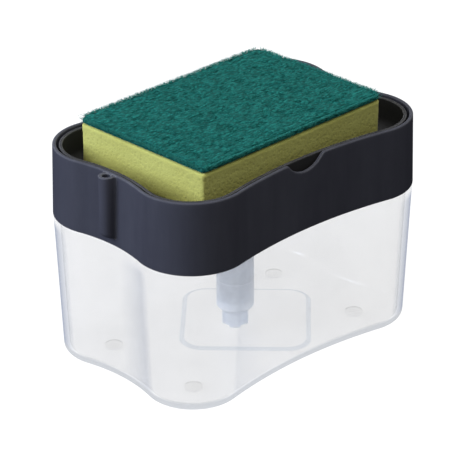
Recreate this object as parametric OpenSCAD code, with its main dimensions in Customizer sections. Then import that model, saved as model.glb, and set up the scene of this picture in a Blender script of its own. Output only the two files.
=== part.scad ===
// Soap pump caddy: a see-through soap tank, a collar whose deck closes the tank,
// a spring pump that hangs from the deck, and a press tray with a sponge on it.
// Lengths are in millimetres and angles in degrees. The caddy stands on z = 0 with
// its middle on the z axis, its long side along x and its finger notch towards -y.

/* [Outline] */
// Half length of the rim, from the middle to the end lobes
rim_half_len = 66.5; // [62:0.5:74]
// Half width of the rim, from the middle to the side lobes
rim_half_wid = 45.2; // [42:0.2:50]
// Radius of the four corner lobes at the rim
lobe_r = 21.8; // [18:0.2:24]
// Depth of the hollow in each long side
side_hollow = 4.6; // [3:0.1:6]
// Depth of the hollow in each short side
end_hollow = 3.1; // [2:0.1:4]

/* [Tank] */
// Height of the tank's body, from its underside to its shoulder
tank_body_h = 59.5; // [52:0.5:75]
// Wall thickness of the tank
tank_wall = 2.2; // [1.8:0.1:2.6]
// Thickness of the tank's floor
tank_floor_t = 1.8; // [1.4:0.1:2.4]
// How much further in the tank's foot lies than its shoulder
tank_draft = 2.6; // [1:0.1:3.5]
// Radius of the rounded edge round the tank's foot
tank_foot_r = 3.2; // [2:0.1:5]
// Height of the thin neck that the collar slips over
neck_h = 5; // [4:0.5:8]
// Wall thickness of the neck
neck_wall = 1.1; // [0.9:0.05:1.4]
// Width across the raised panel on the tank's floor
panel_w = 53; // [40:1:56]
// Height of the raised panel
panel_h = 0.7; // [0.4:0.1:1]
// Radius of the panel's corners
panel_r = 10; // [5:0.5:14]
// Place of the panel along the floor
panel_x = 6; // [0:0.5:8]

/* [Feet] */
// Diameter of each foot pad
foot_d = 7; // [5:0.5:10]
// How far the pads stand out below the floor
foot_proud = 0.8; // [0.5:0.1:1.5]
// How deep the pads sit in the floor
foot_sink = 0.6; // [0.4:0.1:0.8]

/* [Collar] */
// Height of the collar, from its lower edge to its rim
collar_h = 29.6; // [27:0.2:36]
// Wall thickness of the collar at its rim
collar_wall = 1.5; // [1.3:0.1:2]
// How much wider the collar is at its lower edge than at its rim
collar_draft = 0.65; // [0.5:0.05:0.9]
// Radius of the rounded rim
rim_r = 0.6; // [0.3:0.05:0.6]
// Gap between the collar's lower edge and the tank's shoulder
shoulder_gap = 0.2; // [0.1:0.05:0.4]
// How far the tank's shoulder lies inside the collar's lower edge
shoulder_step = 0.15; // [0:0.05:0.3]
// Clearance between the neck and the collar round it
neck_clear = 0.25; // [0.2:0.05:0.35]
// Thickness of the deck that closes the tank
deck_t = 1.8; // [1.4:0.1:2.4]
// Width of the finger notch at the rim
notch_w = 21; // [14:0.2:24]
// Depth of the finger notch
notch_h = 5.2; // [3:0.1:7]
// Place of the notch along the front
notch_x = -1.4; // [-4:0.2:4]

/* [Accessory socket] */
// Diameter of the socket's hole
socket_d = 3.4; // [2.5:0.1:4]
// Depth of the socket's hole
socket_depth = 20; // [12:1:22]
// Wall round the hole
socket_wall = 1.4; // [1.2:0.1:1.6]
// Length of the rib that holds the socket
socket_len = 26; // [24:0.5:27]
// How far the hole's middle stands out from the collar's end
socket_out = 1.9; // [1.5:0.1:2.4]
// Place of the socket across the end
socket_y = 1.4; // [-3:0.2:3]

/* [Tray] */
// Gap all round between the tray and the collar
tray_gap = 1; // [0.6:0.1:1.4]
// Wall thickness of the tray
tray_wall = 1.4; // [1:0.1:1.8]
// Thickness of the tray's floor
tray_floor_t = 1.8; // [1.4:0.1:2.4]
// How far the tray's rim lies below the collar's rim
tray_drop = 0.6; // [0.2:0.1:3]
// Radius of the tray's rounded bottom edge, outside
tray_foot_r = 5; // [3:0.5:6]
// Travel of the tray when it is pressed
stroke = 8; // [6:0.5:9]
// Space left under the tray when it is pressed all the way
press_clear = 0.5; // [0.4:0.1:1]
// Height of the low ribs that the sponge lies on
rib_h = 1; // [0.6:0.1:1.4]
// Width of the low ribs
rib_w = 1.6; // [1.2:0.1:2.4]
// Outer diameter of the hub under the tray
hub_d = 11; // [10:0.5:13]
// Diameter of the domed soap outlet in the tray's middle
outlet_d = 20; // [16:1:24]
// Diameter of each soap hole in the outlet
soap_hole_d = 1.6; // [1.2:0.1:2]

/* [Sponge] */
// Gap at each end of the sponge, where fingers reach in
finger_gap = 10.5; // [10:0.1:16]
// Gap on each long side, at the hollow
sponge_side_gap = 2.9; // [1.5:0.1:5]
// Thickness of the foam
foam_t = 17.3; // [14:0.1:28]
// Thickness of the scouring pad
pad_t = 3; // [2:0.2:6]
// Radius of the sponge's upright corners
sponge_corner_r = 2.4; // [1:0.2:4]
// Turn of the loose sponge in the tray, in degrees
sponge_turn = 1.6; // [0:0.1:2.5]

/* [Pump] */
// Depth of the well in the deck that the pump hangs in
well_depth = 21; // [20:0.5:24]
// Inner diameter of the well
well_d = 34; // [32.5:0.5:38]
// Wall thickness of the well
well_wall = 1.8; // [1.4:0.1:2.2]
// Outer diameter of the pump's barrel
barrel_d = 15; // [14.5:0.1:15.5]
// Wall thickness of the barrel
barrel_wall = 1.3; // [1.1:0.1:1.5]
// Outer diameter of the barrel's narrow tail
tail_d = 10.4; // [9.8:0.1:11]
// Gap between the pump's foot and the tank's floor panel
foot_gap = 0.3; // [0.2:0.05:1]
// Height of the notched foot of the pump
pump_foot_h = 2.6; // [2:0.1:3]
// Outer diameter of the threaded neck
pump_neck_d = 22; // [21:0.5:23]
// Height of the threaded neck
pump_neck_h = 8.5; // [7:0.5:9]
// Thickness of the gasket
gasket_t = 1; // [0.8:0.1:1.4]
// Thickness of the barrel's flange
flange_t = 1.4; // [1:0.1:1.8]
// Outer diameter of the closure nut, without its grip ribs
nut_d = 28; // [27:0.5:30]
// Thickness of the nut's top
nut_top_t = 1.6; // [1.2:0.1:2]
// Number of grip ribs on the nut
nut_ribs = 18; // [12:1:24]
// Outer diameter of the stem
stem_d = 7; // [6.6:0.1:7.4]
// Bore of the stem
stem_bore = 2.8; // [2.4:0.1:3]
// Bore of the stem's lower end, where the outlet ball moves
cage_bore = 4.4; // [4.2:0.1:4.6]
// Thickness of the stem guide's flange
guide_t = 1.2; // [1:0.1:1.6]
// Depth to which the stem guide plugs into the barrel
guide_plug = 5; // [4:0.5:6]
// Height of the piston
piston_h = 8; // [7:0.5:9]
// Diameter of the inlet ball
inlet_ball_d = 4.8; // [4.4:0.1:5]
// Lift of the inlet ball
inlet_lift = 1.4; // [1:0.1:1.6]
// Diameter of the outlet ball
outlet_ball_d = 3.4; // [3.2:0.1:3.6]
// Lift of the outlet ball
outlet_lift = 1.2; // [0.8:0.1:1.4]
// Wire diameter of the return spring
wire_d = 0.9; // [0.7:0.05:1.1]
// Gap between the return spring and the barrel's bore
spring_gap = 1.35; // [1:0.05:1.7]
// Number of turns of the return spring
spring_turns = 9; // [7:1:10]

/* [Hidden] */

// Overrun of every cut past the face that it opens
over = 0.5;
// Gap between two pieces that slide or seat with a small clearance
fit = 0.08;
// Gap between a moving piece and the stop that it rests on
seat_gap = 0.2;
// Small bevel on the moulded edges
bevel = 0.3;

// Steps along a corner lobe, a long hollow, a short hollow and a small fillet
lobe_steps = 12;
side_steps = 10;
end_steps = 6;
fillet_steps = 4;

// Heights of the tank and the collar
tank_z = foot_proud;
floor_z = tank_z + tank_floor_t;
shoulder_z = tank_z + tank_body_h;
neck_z = shoulder_z + neck_h;
collar_z = shoulder_z + shoulder_gap;
rim_z = collar_z + collar_h;
deck_z = neck_z;
deck_top_z = deck_z + deck_t;

// Insets of the walls from the rim's outline
collar_low_in = -collar_draft;
tank_top_in = collar_low_in + shoulder_step;
tank_foot_in = tank_top_in + tank_draft;
tank_mouth_in = tank_top_in + tank_wall;
tank_inner_in = tank_foot_in + tank_wall;
neck_out_in = tank_mouth_in - neck_wall;
skirt_in = neck_out_in - neck_clear;
tray_out_in = collar_wall + tray_gap;
tray_in_in = tray_out_in + tray_wall;
tank_inner_r = tank_foot_r - tank_wall / 2;
tray_inner_r = tray_foot_r - tray_wall;

// Centres of the lobes and of the hollows' arcs, which every inset keeps
lobe_x = rim_half_len - lobe_r;
lobe_y = rim_half_wid - lobe_r;
side_rise = (lobe_x * lobe_x - side_hollow * side_hollow) / (2 * side_hollow);
end_rise = (lobe_y * lobe_y - end_hollow * end_hollow) / (2 * end_hollow);
side_arc_r = side_rise - lobe_r + side_hollow;
end_arc_r = end_rise - lobe_r + end_hollow;
side_angle = atan2(lobe_x, side_rise);
end_angle = atan2(lobe_y, end_rise);

// Place of the accessory socket along the caddy
socket_x = -(rim_half_len - end_hollow + socket_out);

// Heights of the tray and the sponge
tray_z = deck_top_z + press_clear + stroke;
tray_top_z = tray_z + tray_floor_t;
tray_rim_z = rim_z - tray_drop;
foam_z = tray_top_z + rib_h + seat_gap;
pad_z = foam_z + foam_t;
sponge_len = 2 * (rim_half_len - end_hollow - tray_in_in - finger_gap);
sponge_wid = 2 * (rim_half_wid - side_hollow - tray_in_in - sponge_side_gap);
// How far the tray's rounded inner edge reaches in at the height of the sponge's underside
tray_fillet_left = tray_inner_r - rib_h - seat_gap;
tray_fillet_reach = tray_inner_r - sqrt(tray_inner_r * tray_inner_r - tray_fillet_left * tray_fillet_left);
// The loose sponge lies a little off the middle, within its free gap
sponge_shift_share = 0.8;
sponge_y = sponge_shift_share * (sponge_side_gap - tray_fillet_reach);

// Heights and sizes of the pump
well_z = deck_top_z - well_depth;
pump_neck_z = well_z + pump_neck_h;
barrel_flange_z = pump_neck_z + gasket_t;
guide_z = barrel_flange_z + flange_t;
nut_under_z = guide_z + guide_t;
nut_top_z = nut_under_z + nut_top_t;
flange_d = pump_neck_d - 2 * fit;
nut_bore = pump_neck_d + 2 * fit;
nut_skirt_gap = 2 * seat_gap;
nut_mouth_d = stem_d + nut_bore / 3;
barrel_bore = barrel_d - 2 * barrel_wall;
barrel_hole_d = barrel_d + 2 * fit;
spring_d = barrel_bore - 2 * spring_gap;
hub_z = nut_top_z + stroke + press_clear;
stem_top_z = tray_z;
piston_top_z = guide_z - guide_plug - seat_gap;
piston_z = piston_top_z - piston_h;
plug_flange_t = gasket_t;
plug_z = piston_z - plug_flange_t;
plug_d = spring_d + wire_d;
plug_spigot_h = piston_h / 2;
plug_top_z = piston_z + plug_spigot_h;
plug_hole_d = 2 * outlet_ball_d / 3;
piston_d = barrel_bore - fit;
piston_lip = barrel_wall / 2;
guide_bore = stem_d + 2 * fit;
guide_flange_d = flange_d;

// Balls on their seats: each touches the edge of its seat's hole
outlet_ball_r = outlet_ball_d / 2;
inlet_ball_r = inlet_ball_d / 2;
seat_hole_d = 2 * inlet_ball_d / 3;
outlet_sit = sqrt(outlet_ball_r * outlet_ball_r - plug_hole_d * plug_hole_d / 4);
inlet_sit = sqrt(inlet_ball_r * inlet_ball_r - seat_hole_d * seat_hole_d / 4);
outlet_ball_z = plug_top_z + outlet_sit + fit;
cage_top_z = outlet_ball_z + outlet_ball_r + outlet_lift + seat_gap;

// The pump's lower end, from the tank's floor up
pump_foot_z = floor_z + panel_h + foot_gap;
tail_z = pump_foot_z + pump_foot_h;
seat_z = tail_z + pump_foot_h / 2;
inlet_ball_z = seat_z + inlet_sit + fit;
chamber_d = inlet_ball_d + 1.5 * barrel_wall;
barrel_ledge_z = inlet_ball_z + inlet_ball_r + inlet_lift + seat_gap;
cone_h = (barrel_d - tail_d) / 2;
barrel_shoulder_z = barrel_ledge_z - barrel_wall - cone_h;
retainer_t = flange_t;
retainer_top_z = barrel_ledge_z + retainer_t;
spigot_d = tail_d - 2 * barrel_wall;
spring_z = retainer_top_z + seat_gap;
spring_h = plug_z - seat_gap - spring_z;

// Shares used by the small details
rib_place_shares = [-0.78, -0.52, -0.3, 0.3, 0.52, 0.78];
rib_len_share = 0.72;
foot_notch_share = 0.34;

// Segments of the round pieces
$fn = 64;

// Points of one arc, from angle a to angle b, both ends included
function arc(centre, radius, a, b, steps) = [
    for (i = [0 : steps])
        centre + radius * [cos(a + (b - a) * i / steps), sin(a + (b - a) * i / steps)]
];

// The points of a list without its last one, which the next arc repeats
function head(points) = [for (i = [0 : len(points) - 2]) points[i]];

// One half of the outline, inset by t: right lobe, long hollow, left lobe, short hollow
function half_outline(t, s) = concat(
    head(arc([s * lobe_x, s * lobe_y], s * (lobe_r - t), -end_angle, 90 + side_angle, lobe_steps)),
    head(arc([0, s * (lobe_y + side_rise)], s * (side_arc_r + t),
        -90 + side_angle, -90 - side_angle, side_steps)),
    head(arc([-s * lobe_x, s * lobe_y], s * (lobe_r - t), 90 - side_angle, 180 + end_angle,
        lobe_steps)),
    head(arc([-s * (lobe_x + end_rise), 0], s * (end_arc_r + t), end_angle, -end_angle, end_steps))
);

// The whole outline with its four lobes and four hollows, counter-clockwise
function outline(t) = concat(half_outline(t, 1), half_outline(t, -1));

// A rounded corner of a wall's profile as [inset, height] pairs, round the middle [in, z]
function fillet(in, z, radius, a, b) = [
    for (i = [0 : fillet_steps])
        [
            in + radius * cos(a + (b - a) * i / fillet_steps),
            z + radius * sin(a + (b - a) * i / fillet_steps)
        ]
];

// Solid whose skin follows the outline through a list of [inset, height] pairs
module skin(profile) {
    rings = [for (p = profile) [for (q = outline(p[0])) [q[0], q[1], p[1]]]];
    n = len(rings[0]);
    last = len(rings) - 1;
    points = [for (ring = rings) each ring];
    sides = [
        for (k = [0 : last - 1], i = [0 : n - 1])
            each [
                [k * n + i, (k + 1) * n + i, (k + 1) * n + (i + 1) % n],
                [k * n + i, (k + 1) * n + (i + 1) % n, k * n + (i + 1) % n]
            ]
    ];
    low = [for (i = [0 : n - 1]) i];
    high = [for (i = [n - 1 : -1 : 0]) last * n + i];
    polyhedron(points, concat([low], sides, [high]), convexity = 6);
}

// Flat rounded rectangle
module rounded_plate(length, width, height, radius) {
    linear_extrude(height) {
        square([length - 2 * radius, width], center = true);
        square([length, width - 2 * radius], center = true);
        for (sx = [-1, 1], sy = [-1, 1])
            translate([sx * (length / 2 - radius), sy * (width / 2 - radius)]) circle(radius);
    }
}

// Round tube that stands on z
module tube(outer_d, inner_d, z, height) {
    translate([0, 0, z])
        difference() {
            cylinder(d = outer_d, h = height);
            translate([0, 0, -over]) cylinder(d = inner_d, h = height + 2 * over);
        }
}

// Places its children at the centres of the four lobes
module at_lobes() {
    for (sx = [-1, 1], sy = [-1, 1])
        translate([sx * lobe_x, sy * lobe_y, 0]) children();
}

// Frosted tank with its neck, floor panel and the four pockets for the feet
module tank() {
    color("AliceBlue", 0.5)
        difference() {
            union() {
                skin(concat(
                    fillet(tank_foot_in + tank_foot_r, tank_z + tank_foot_r, tank_foot_r, 270, 180),
                    [
                        [tank_top_in, shoulder_z - bevel],
                        [tank_top_in + bevel, shoulder_z],
                        [neck_out_in, shoulder_z],
                        [neck_out_in, neck_z],
                        [tank_mouth_in, neck_z]
                    ],
                    fillet(tank_inner_in + tank_inner_r, floor_z + tank_inner_r, tank_inner_r, 180, 270)
                ));
                translate([panel_x, 0, tank_z + tank_floor_t / 2])
                    rotate(45)
                        rounded_plate(panel_w, panel_w, tank_floor_t / 2 + panel_h, panel_r);
            }
            at_lobes() translate([0, 0, tank_z - over])
                cylinder(d = foot_d, h = foot_sink + over);
        }
}

// Four round pads, let into the floor at the lobes' centres
module tank_feet() {
    color("WhiteSmoke")
        at_lobes() cylinder(d = foot_d - 2 * fit, h = foot_proud + foot_sink);
}

// Rib on the collar's end with the accessory socket in it, solid
module socket_rib() {
    rib_r = socket_d / 2 + socket_wall;
    translate([socket_x, socket_y, rim_z - bevel - socket_len]) {
        translate([0, 0, rib_r]) cylinder(r = rib_r, h = socket_len - rib_r);
        cylinder(r1 = rib_r / 2, r2 = rib_r, h = rib_r);
    }
}

// Collar: skirt with a rounded rim, deck, pump well with its threaded neck, socket and notch
module collar() {
    notch_r = (notch_w * notch_w / 4 + notch_h * notch_h) / (2 * notch_h);
    color([0.16, 0.17, 0.2])
        difference() {
            union() {
                skin(concat(
                    [
                        [skirt_in, deck_z],
                        [skirt_in, collar_z],
                        [collar_low_in + bevel, collar_z],
                        [collar_low_in, collar_z + bevel]
                    ],
                    fillet(rim_r, rim_z - rim_r, rim_r, 180, 90),
                    fillet(collar_wall - rim_r, rim_z - rim_r, rim_r, 90, 0),
                    [[collar_wall, deck_top_z]]
                ));
                socket_rib();
                translate([0, 0, well_z - well_wall])
                    cylinder(d = well_d + 2 * well_wall, h = deck_top_z - well_z + well_wall);
            }
            translate([0, 0, well_z]) cylinder(d = well_d, h = well_depth + over);
            translate([0, 0, well_z - well_wall - over])
                cylinder(d = barrel_hole_d, h = well_wall + 2 * over);
            translate([socket_x, socket_y, rim_z - bevel - socket_depth])
                cylinder(d = socket_d, h = socket_depth + over);
            translate([notch_x, -rim_half_wid / 2, rim_z - notch_h + notch_r])
                rotate([90, 0, 0]) cylinder(r = notch_r, h = rim_half_wid / 2 + over);
        }
    color([0.16, 0.17, 0.2])
        tube(pump_neck_d, barrel_hole_d, well_z - well_wall / 2, pump_neck_h + well_wall / 2);
}

// Washer between the threaded neck and the barrel's flange
module pump_gasket() {
    color("DimGray") tube(flange_d, barrel_hole_d, pump_neck_z, gasket_t);
}

// Barrel: bore for the piston, flange at the top, ball chamber and seat in the tail
module pump_barrel() {
    color([0.6, 0.68, 0.78], 0.7)
        rotate_extrude()
            polygon([
                [barrel_bore / 2, barrel_ledge_z],
                [barrel_bore / 2, guide_z],
                [flange_d / 2, guide_z],
                [flange_d / 2, barrel_flange_z],
                [barrel_d / 2, barrel_flange_z],
                [barrel_d / 2, barrel_shoulder_z + cone_h],
                [tail_d / 2, barrel_shoulder_z],
                [tail_d / 2, tail_z],
                [spigot_d / 2, tail_z],
                [spigot_d / 2, pump_foot_z + pump_foot_h / 2],
                [seat_hole_d / 2, pump_foot_z + pump_foot_h / 2],
                [seat_hole_d / 2, seat_z],
                [chamber_d / 2, seat_z],
                [chamber_d / 2, barrel_ledge_z]
            ]);
}

// Closure nut with grip ribs, screwed on the neck
module pump_nut() {
    skirt_z = well_z + nut_skirt_gap;
    color("DarkSlateGray")
        difference() {
            union() {
                translate([0, 0, skirt_z]) cylinder(d = nut_d, h = nut_top_z - skirt_z);
                for (i = [0 : nut_ribs - 1])
                    rotate((i + 0.5) * 360 / nut_ribs)
                        translate([nut_d / 2, 0, skirt_z + bevel])
                            cylinder(d = nut_top_t, h = nut_top_z - skirt_z - 2 * bevel);
            }
            translate([0, 0, skirt_z - over]) cylinder(d = nut_bore, h = nut_under_z - skirt_z + over);
            translate([0, 0, skirt_z]) cylinder(d = nut_mouth_d, h = nut_top_z - skirt_z + over);
        }
}

// Ring that closes the barrel and guides the stem
module stem_guide() {
    color("WhiteSmoke") {
        tube(guide_flange_d, guide_bore, guide_z, guide_t);
        tube(barrel_bore, guide_bore, guide_z - guide_plug, guide_plug + guide_t / 2);
    }
}

// Notched foot pushed on the barrel's tail; soap flows in through the notches
module pump_foot() {
    notch = tail_d * foot_notch_share;
    color([0.6, 0.68, 0.78], 0.7)
        difference() {
            tube(tail_d, spigot_d, pump_foot_z, pump_foot_h);
            for (a = [0, 90])
                rotate(a)
                    translate([-tail_d, -notch / 2, pump_foot_z - over])
                        cube([2 * tail_d, notch, pump_foot_h / 3 + over]);
        }
}

// Spoked disc over the inlet ball, on which the spring stands
module ball_retainer() {
    spoke = barrel_wall;
    rim_d = spring_d - 2 * wire_d;
    color("WhiteSmoke") {
        tube(barrel_bore - 2 * fit, rim_d, barrel_ledge_z, retainer_t);
        for (a = [0, 90])
            rotate(a)
                translate([-rim_d / 2 - bevel, -spoke / 2, barrel_ledge_z])
                    cube([rim_d + 2 * bevel, spoke, retainer_t]);
    }
}

// Ball of the foot valve, on its seat
module inlet_ball() {
    color("LightSteelBlue") translate([0, 0, inlet_ball_z]) sphere(d = inlet_ball_d);
}

// Return spring: one unbroken coil of round wire, six-sided, eight rings a turn
module return_spring() {
    sides = 6;
    rings_a_turn = 8;
    count = spring_turns * rings_a_turn;
    coil_r = (spring_d - wire_d) / 2;
    low_z = spring_z + wire_d / 2;
    climb = spring_h - wire_d;
    points = [
        for (k = [0 : count], j = [0 : sides - 1])
            let (a = 360 * k / rings_a_turn, b = 360 * j / sides, r = coil_r + wire_d / 2 * cos(b))
                [r * cos(a), r * sin(a), low_z + climb * k / count + wire_d / 2 * sin(b)]
    ];
    skin_faces = [
        for (k = [0 : count - 1], j = [0 : sides - 1])
            let (p = k * sides, q = p + sides, i = (j + 1) % sides)
                each [[p + j, p + i, q + i], [p + j, q + i, q + j]]
    ];
    start = [for (j = [sides - 1 : -1 : 0]) j];
    end = [for (j = [0 : sides - 1]) count * sides + j];
    turn = rings_a_turn * sides;
    echo(least_gap_between_turns = min([
        for (k = [0 : count - rings_a_turn], j = [0 : sides - 1])
            norm(points[k * sides + j + turn] - points[k * sides + j]) - wire_d
    ]));
    color("Silver") polyhedron(points, concat([start], skin_faces, [end]), convexity = 10);
}

// Press tray: dished plate with a thin rim, hub, outlet recess and low ribs
module tray() {
    outlet_recess = tray_floor_t / 2;
    half_in = rim_half_len - end_hollow - tray_in_in;
    rib_len = 2 * (rim_half_wid - side_hollow - tray_in_in) * rib_len_share;
    color([0.13, 0.13, 0.14])
        difference() {
            union() {
                skin(concat(
                    fillet(tray_out_in + tray_foot_r, tray_z + tray_foot_r, tray_foot_r, 270, 180),
                    [
                        [tray_out_in, tray_rim_z - bevel],
                        [tray_out_in + bevel, tray_rim_z],
                        [tray_in_in - bevel, tray_rim_z],
                        [tray_in_in, tray_rim_z - bevel]
                    ],
                    fillet(tray_in_in + tray_inner_r, tray_top_z + tray_inner_r, tray_inner_r, 180, 270)
                ));
                translate([0, 0, hub_z]) cylinder(d = hub_d, h = tray_z - hub_z + tray_floor_t / 2);
                for (share = rib_place_shares)
                    translate([share * half_in - rib_w / 2, -rib_len / 2, tray_top_z - tray_floor_t / 2])
                        cube([rib_w, rib_len, tray_floor_t / 2 + rib_h]);
            }
            translate([0, 0, hub_z - over]) cylinder(d = stem_d, h = stem_top_z - hub_z + over);
            translate([0, 0, hub_z]) cylinder(d = stem_bore, h = tray_top_z - hub_z + over);
            translate([0, 0, tray_top_z - outlet_recess])
                cylinder(d = outlet_d, h = outlet_recess + rib_h + over);
        }
}

// Low domed insert with a ring of soap holes
module outlet_cap() {
    base_z = tray_top_z - tray_floor_t / 2;
    room = rib_h / 2;
    edge = outlet_d / 2 - fit;
    color([0.2, 0.2, 0.22])
        difference() {
            rotate_extrude()
                polygon([
                    [0, base_z + room + bevel],
                    [edge - 2 * tray_wall, base_z + room],
                    [edge - 2 * tray_wall, base_z],
                    [edge, base_z],
                    [edge, tray_top_z],
                    [edge - rib_h, tray_top_z + rib_h / 2],
                    [0, tray_top_z + rib_h]
                ]);
            for (i = [0 : 5])
                rotate(60 * i)
                    translate([outlet_d / 4, 0, base_z])
                        cylinder(d = soap_hole_d, h = tray_floor_t + rib_h);
            translate([0, 0, base_z]) cylinder(d = soap_hole_d, h = tray_floor_t + 2 * rib_h);
        }
}

// Hollow plunger tube, pushed into the tray's hub
module stem() {
    color("WhiteSmoke")
        difference() {
            translate([0, 0, piston_z]) cylinder(d = stem_d, h = stem_top_z - piston_z);
            translate([0, 0, piston_z - over]) cylinder(d = cage_bore, h = cage_top_z - piston_z + over);
            translate([0, 0, piston_z]) cylinder(d = stem_bore, h = stem_top_z - piston_z + over);
        }
}

// Sealing cup on the stem, with a lip at each end
module piston() {
    waist_r = piston_d / 2 - piston_lip;
    lip_h = piston_h / 4;
    color("White")
        rotate_extrude()
            polygon([
                [stem_d / 2, piston_z],
                [piston_d / 2 - bevel, piston_z],
                [piston_d / 2, piston_z + bevel],
                [piston_d / 2, piston_z + lip_h],
                [waist_r, piston_z + lip_h + piston_lip],
                [waist_r, piston_top_z - lip_h - piston_lip],
                [piston_d / 2, piston_top_z - lip_h],
                [piston_d / 2, piston_top_z - bevel],
                [piston_d / 2 - bevel, piston_top_z],
                [stem_d / 2, piston_top_z]
            ]);
}

// Plug in the stem's lower end: seat of the outlet ball above, of the spring below
module valve_plug() {
    color("LightGray") {
        tube(plug_d, plug_hole_d, plug_z, plug_flange_t);
        tube(cage_bore, plug_hole_d, plug_z + plug_flange_t / 2, plug_spigot_h + plug_flange_t / 2);
    }
}

// Ball over the plug, in the stem
module outlet_ball() {
    color("LightSteelBlue") translate([0, 0, outlet_ball_z]) sphere(d = outlet_ball_d);
}

// Plate of the sponge's plan at height z, where the loose sponge lies in the tray
module sponge_plate(z, height) {
    translate([0, sponge_y, z])
        rotate(sponge_turn) rounded_plate(sponge_len, sponge_wid, height, sponge_corner_r);
}

// Yellow foam block
module sponge_foam() {
    color([0.74, 0.75, 0.4]) sponge_plate(foam_z, foam_t);
}

// Green scouring pad, bonded on the foam
module scouring_pad() {
    color([0.1, 0.42, 0.37]) sponge_plate(pad_z, pad_t);
}

tank();
tank_feet();
collar();
pump_gasket();
pump_barrel();
pump_nut();
stem_guide();
pump_foot();
ball_retainer();
inlet_ball();
return_spring();
tray();
outlet_cap();
stem();
piston();
valve_plug();
outlet_ball();
sponge_foam();
scouring_pad();
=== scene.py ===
"""Looks of the soap pump caddy.

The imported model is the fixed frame: lengths are in metres, the caddy stands on z = 0, its long
side runs along x and its finger notch faces -y. Each sub-assembly is a class that holds its
sizes, builds its meshes and dresses them. Each finish is a small frozen class.
"""

import logging
import math
import random
from collections.abc import Callable, Sequence
from dataclasses import dataclass
from enum import Enum
from functools import cache, reduce
from typing import Protocol

import bmesh
import bpy
from mathutils import Matrix, Quaternion, Vector, noise


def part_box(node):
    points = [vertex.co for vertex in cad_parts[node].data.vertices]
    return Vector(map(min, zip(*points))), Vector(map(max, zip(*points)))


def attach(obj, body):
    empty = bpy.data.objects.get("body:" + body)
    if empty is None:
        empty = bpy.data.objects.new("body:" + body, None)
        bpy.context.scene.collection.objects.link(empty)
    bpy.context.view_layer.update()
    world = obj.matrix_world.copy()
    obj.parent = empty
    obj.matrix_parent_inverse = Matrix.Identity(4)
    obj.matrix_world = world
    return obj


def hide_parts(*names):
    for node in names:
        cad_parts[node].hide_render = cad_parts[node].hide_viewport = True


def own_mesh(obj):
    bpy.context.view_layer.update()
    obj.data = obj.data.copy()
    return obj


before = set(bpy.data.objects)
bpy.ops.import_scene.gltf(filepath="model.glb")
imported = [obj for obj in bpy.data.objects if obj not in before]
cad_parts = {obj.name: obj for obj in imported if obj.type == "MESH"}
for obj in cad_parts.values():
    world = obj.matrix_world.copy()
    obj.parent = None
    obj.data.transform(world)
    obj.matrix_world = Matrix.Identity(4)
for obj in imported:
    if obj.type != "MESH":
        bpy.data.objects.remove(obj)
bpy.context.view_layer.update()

Pair = tuple[float, float]
Point = tuple[float, float, float]
Ring = list[Point]
Colour = tuple[float, float, float]
Feed = float | tuple[float, ...] | bpy.types.NodeSocket
Strand = tuple[list[Vector], float]

log = logging.getLogger("caddy")

MM = 0.001
WELD = 1e-7
CUT_PAST = 1.0 * MM
CREASE = math.radians(38)
SOFT_CREASE = math.radians(80)
WHITE: Colour = (1.0, 1.0, 1.0)
RISING: Pair = (0.0, 1.0)
FALLING: Pair = (1.0, 0.0)
NOISE_MIDDLE: Pair = (0.35, 0.65)
NOISE_ROUGHNESS = 0.6
QUARTER = math.pi / 2


class Joining(Enum):
    """How one solid is combined with another."""

    ADD = "UNION"
    CUT = "DIFFERENCE"


class Socket(Enum):
    """Kind of a shader group's socket."""

    VALUE = "NodeSocketFloat"
    COLOUR = "NodeSocketColor"
    VECTOR = "NodeSocketVector"


class Finish(Protocol):
    """What every finish of the caddy can do."""

    def material(self) -> bpy.types.Material:
        """Builds the material."""


def mm(*values: float) -> tuple[float, ...]:
    """Turns millimetres into metres."""
    return tuple(value * MM for value in values)


def rounded_path(corners: Sequence[Point], steps: int = 6, most: float = 0.49) -> list[Pair]:
    """Rounds the inner corners of an open line with arcs.

    Args:
        corners: (u, v, radius) of each corner, in order.
        steps: segments in each arc.
        most: share of a side that one arc may take up.

    Returns:
        The points of the rounded line.
    """
    path = [corners[0][:2]]
    for before, (u, v, radius), after in zip(corners, corners[1:], corners[2:]):
        here = Vector((u, v))
        back = Vector(before[:2]) - here
        ahead = Vector(after[:2]) - here
        half = back.angle(ahead) / 2
        reach = min(radius / math.tan(half), most * back.length, most * ahead.length)
        if reach < WELD:
            path.append((u, v))
            continue
        radius = reach * math.tan(half)
        middle = (back.normalized() + ahead.normalized()).normalized()
        centre = here + middle * radius / math.sin(half)
        start = here + back.normalized() * reach - centre
        end = here + ahead.normalized() * reach - centre
        turn = math.atan2(start.x * end.y - start.y * end.x, start.dot(end))
        for k in range(steps + 1):
            spoke = Matrix.Rotation(turn * k / steps, 2) @ start
            path.append((centre.x + spoke.x, centre.y + spoke.y))
    path.append(corners[-1][:2])
    return path


def with_rows(path: Sequence[Pair], longest: float) -> list[Pair]:
    """Splits the long spans of a line.

    Args:
        path: points of the line.
        longest: longest span that stays whole.

    Returns:
        The line with points added.
    """
    rows = [path[0]]
    for (u0, v0), (u1, v1) in zip(path, path[1:]):
        parts = max(1, math.ceil(math.hypot(u1 - u0, v1 - v0) / longest))
        for k in range(1, parts + 1):
            rows.append((u0 + (u1 - u0) * k / parts, v0 + (v1 - v0) * k / parts))
    return rows


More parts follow.
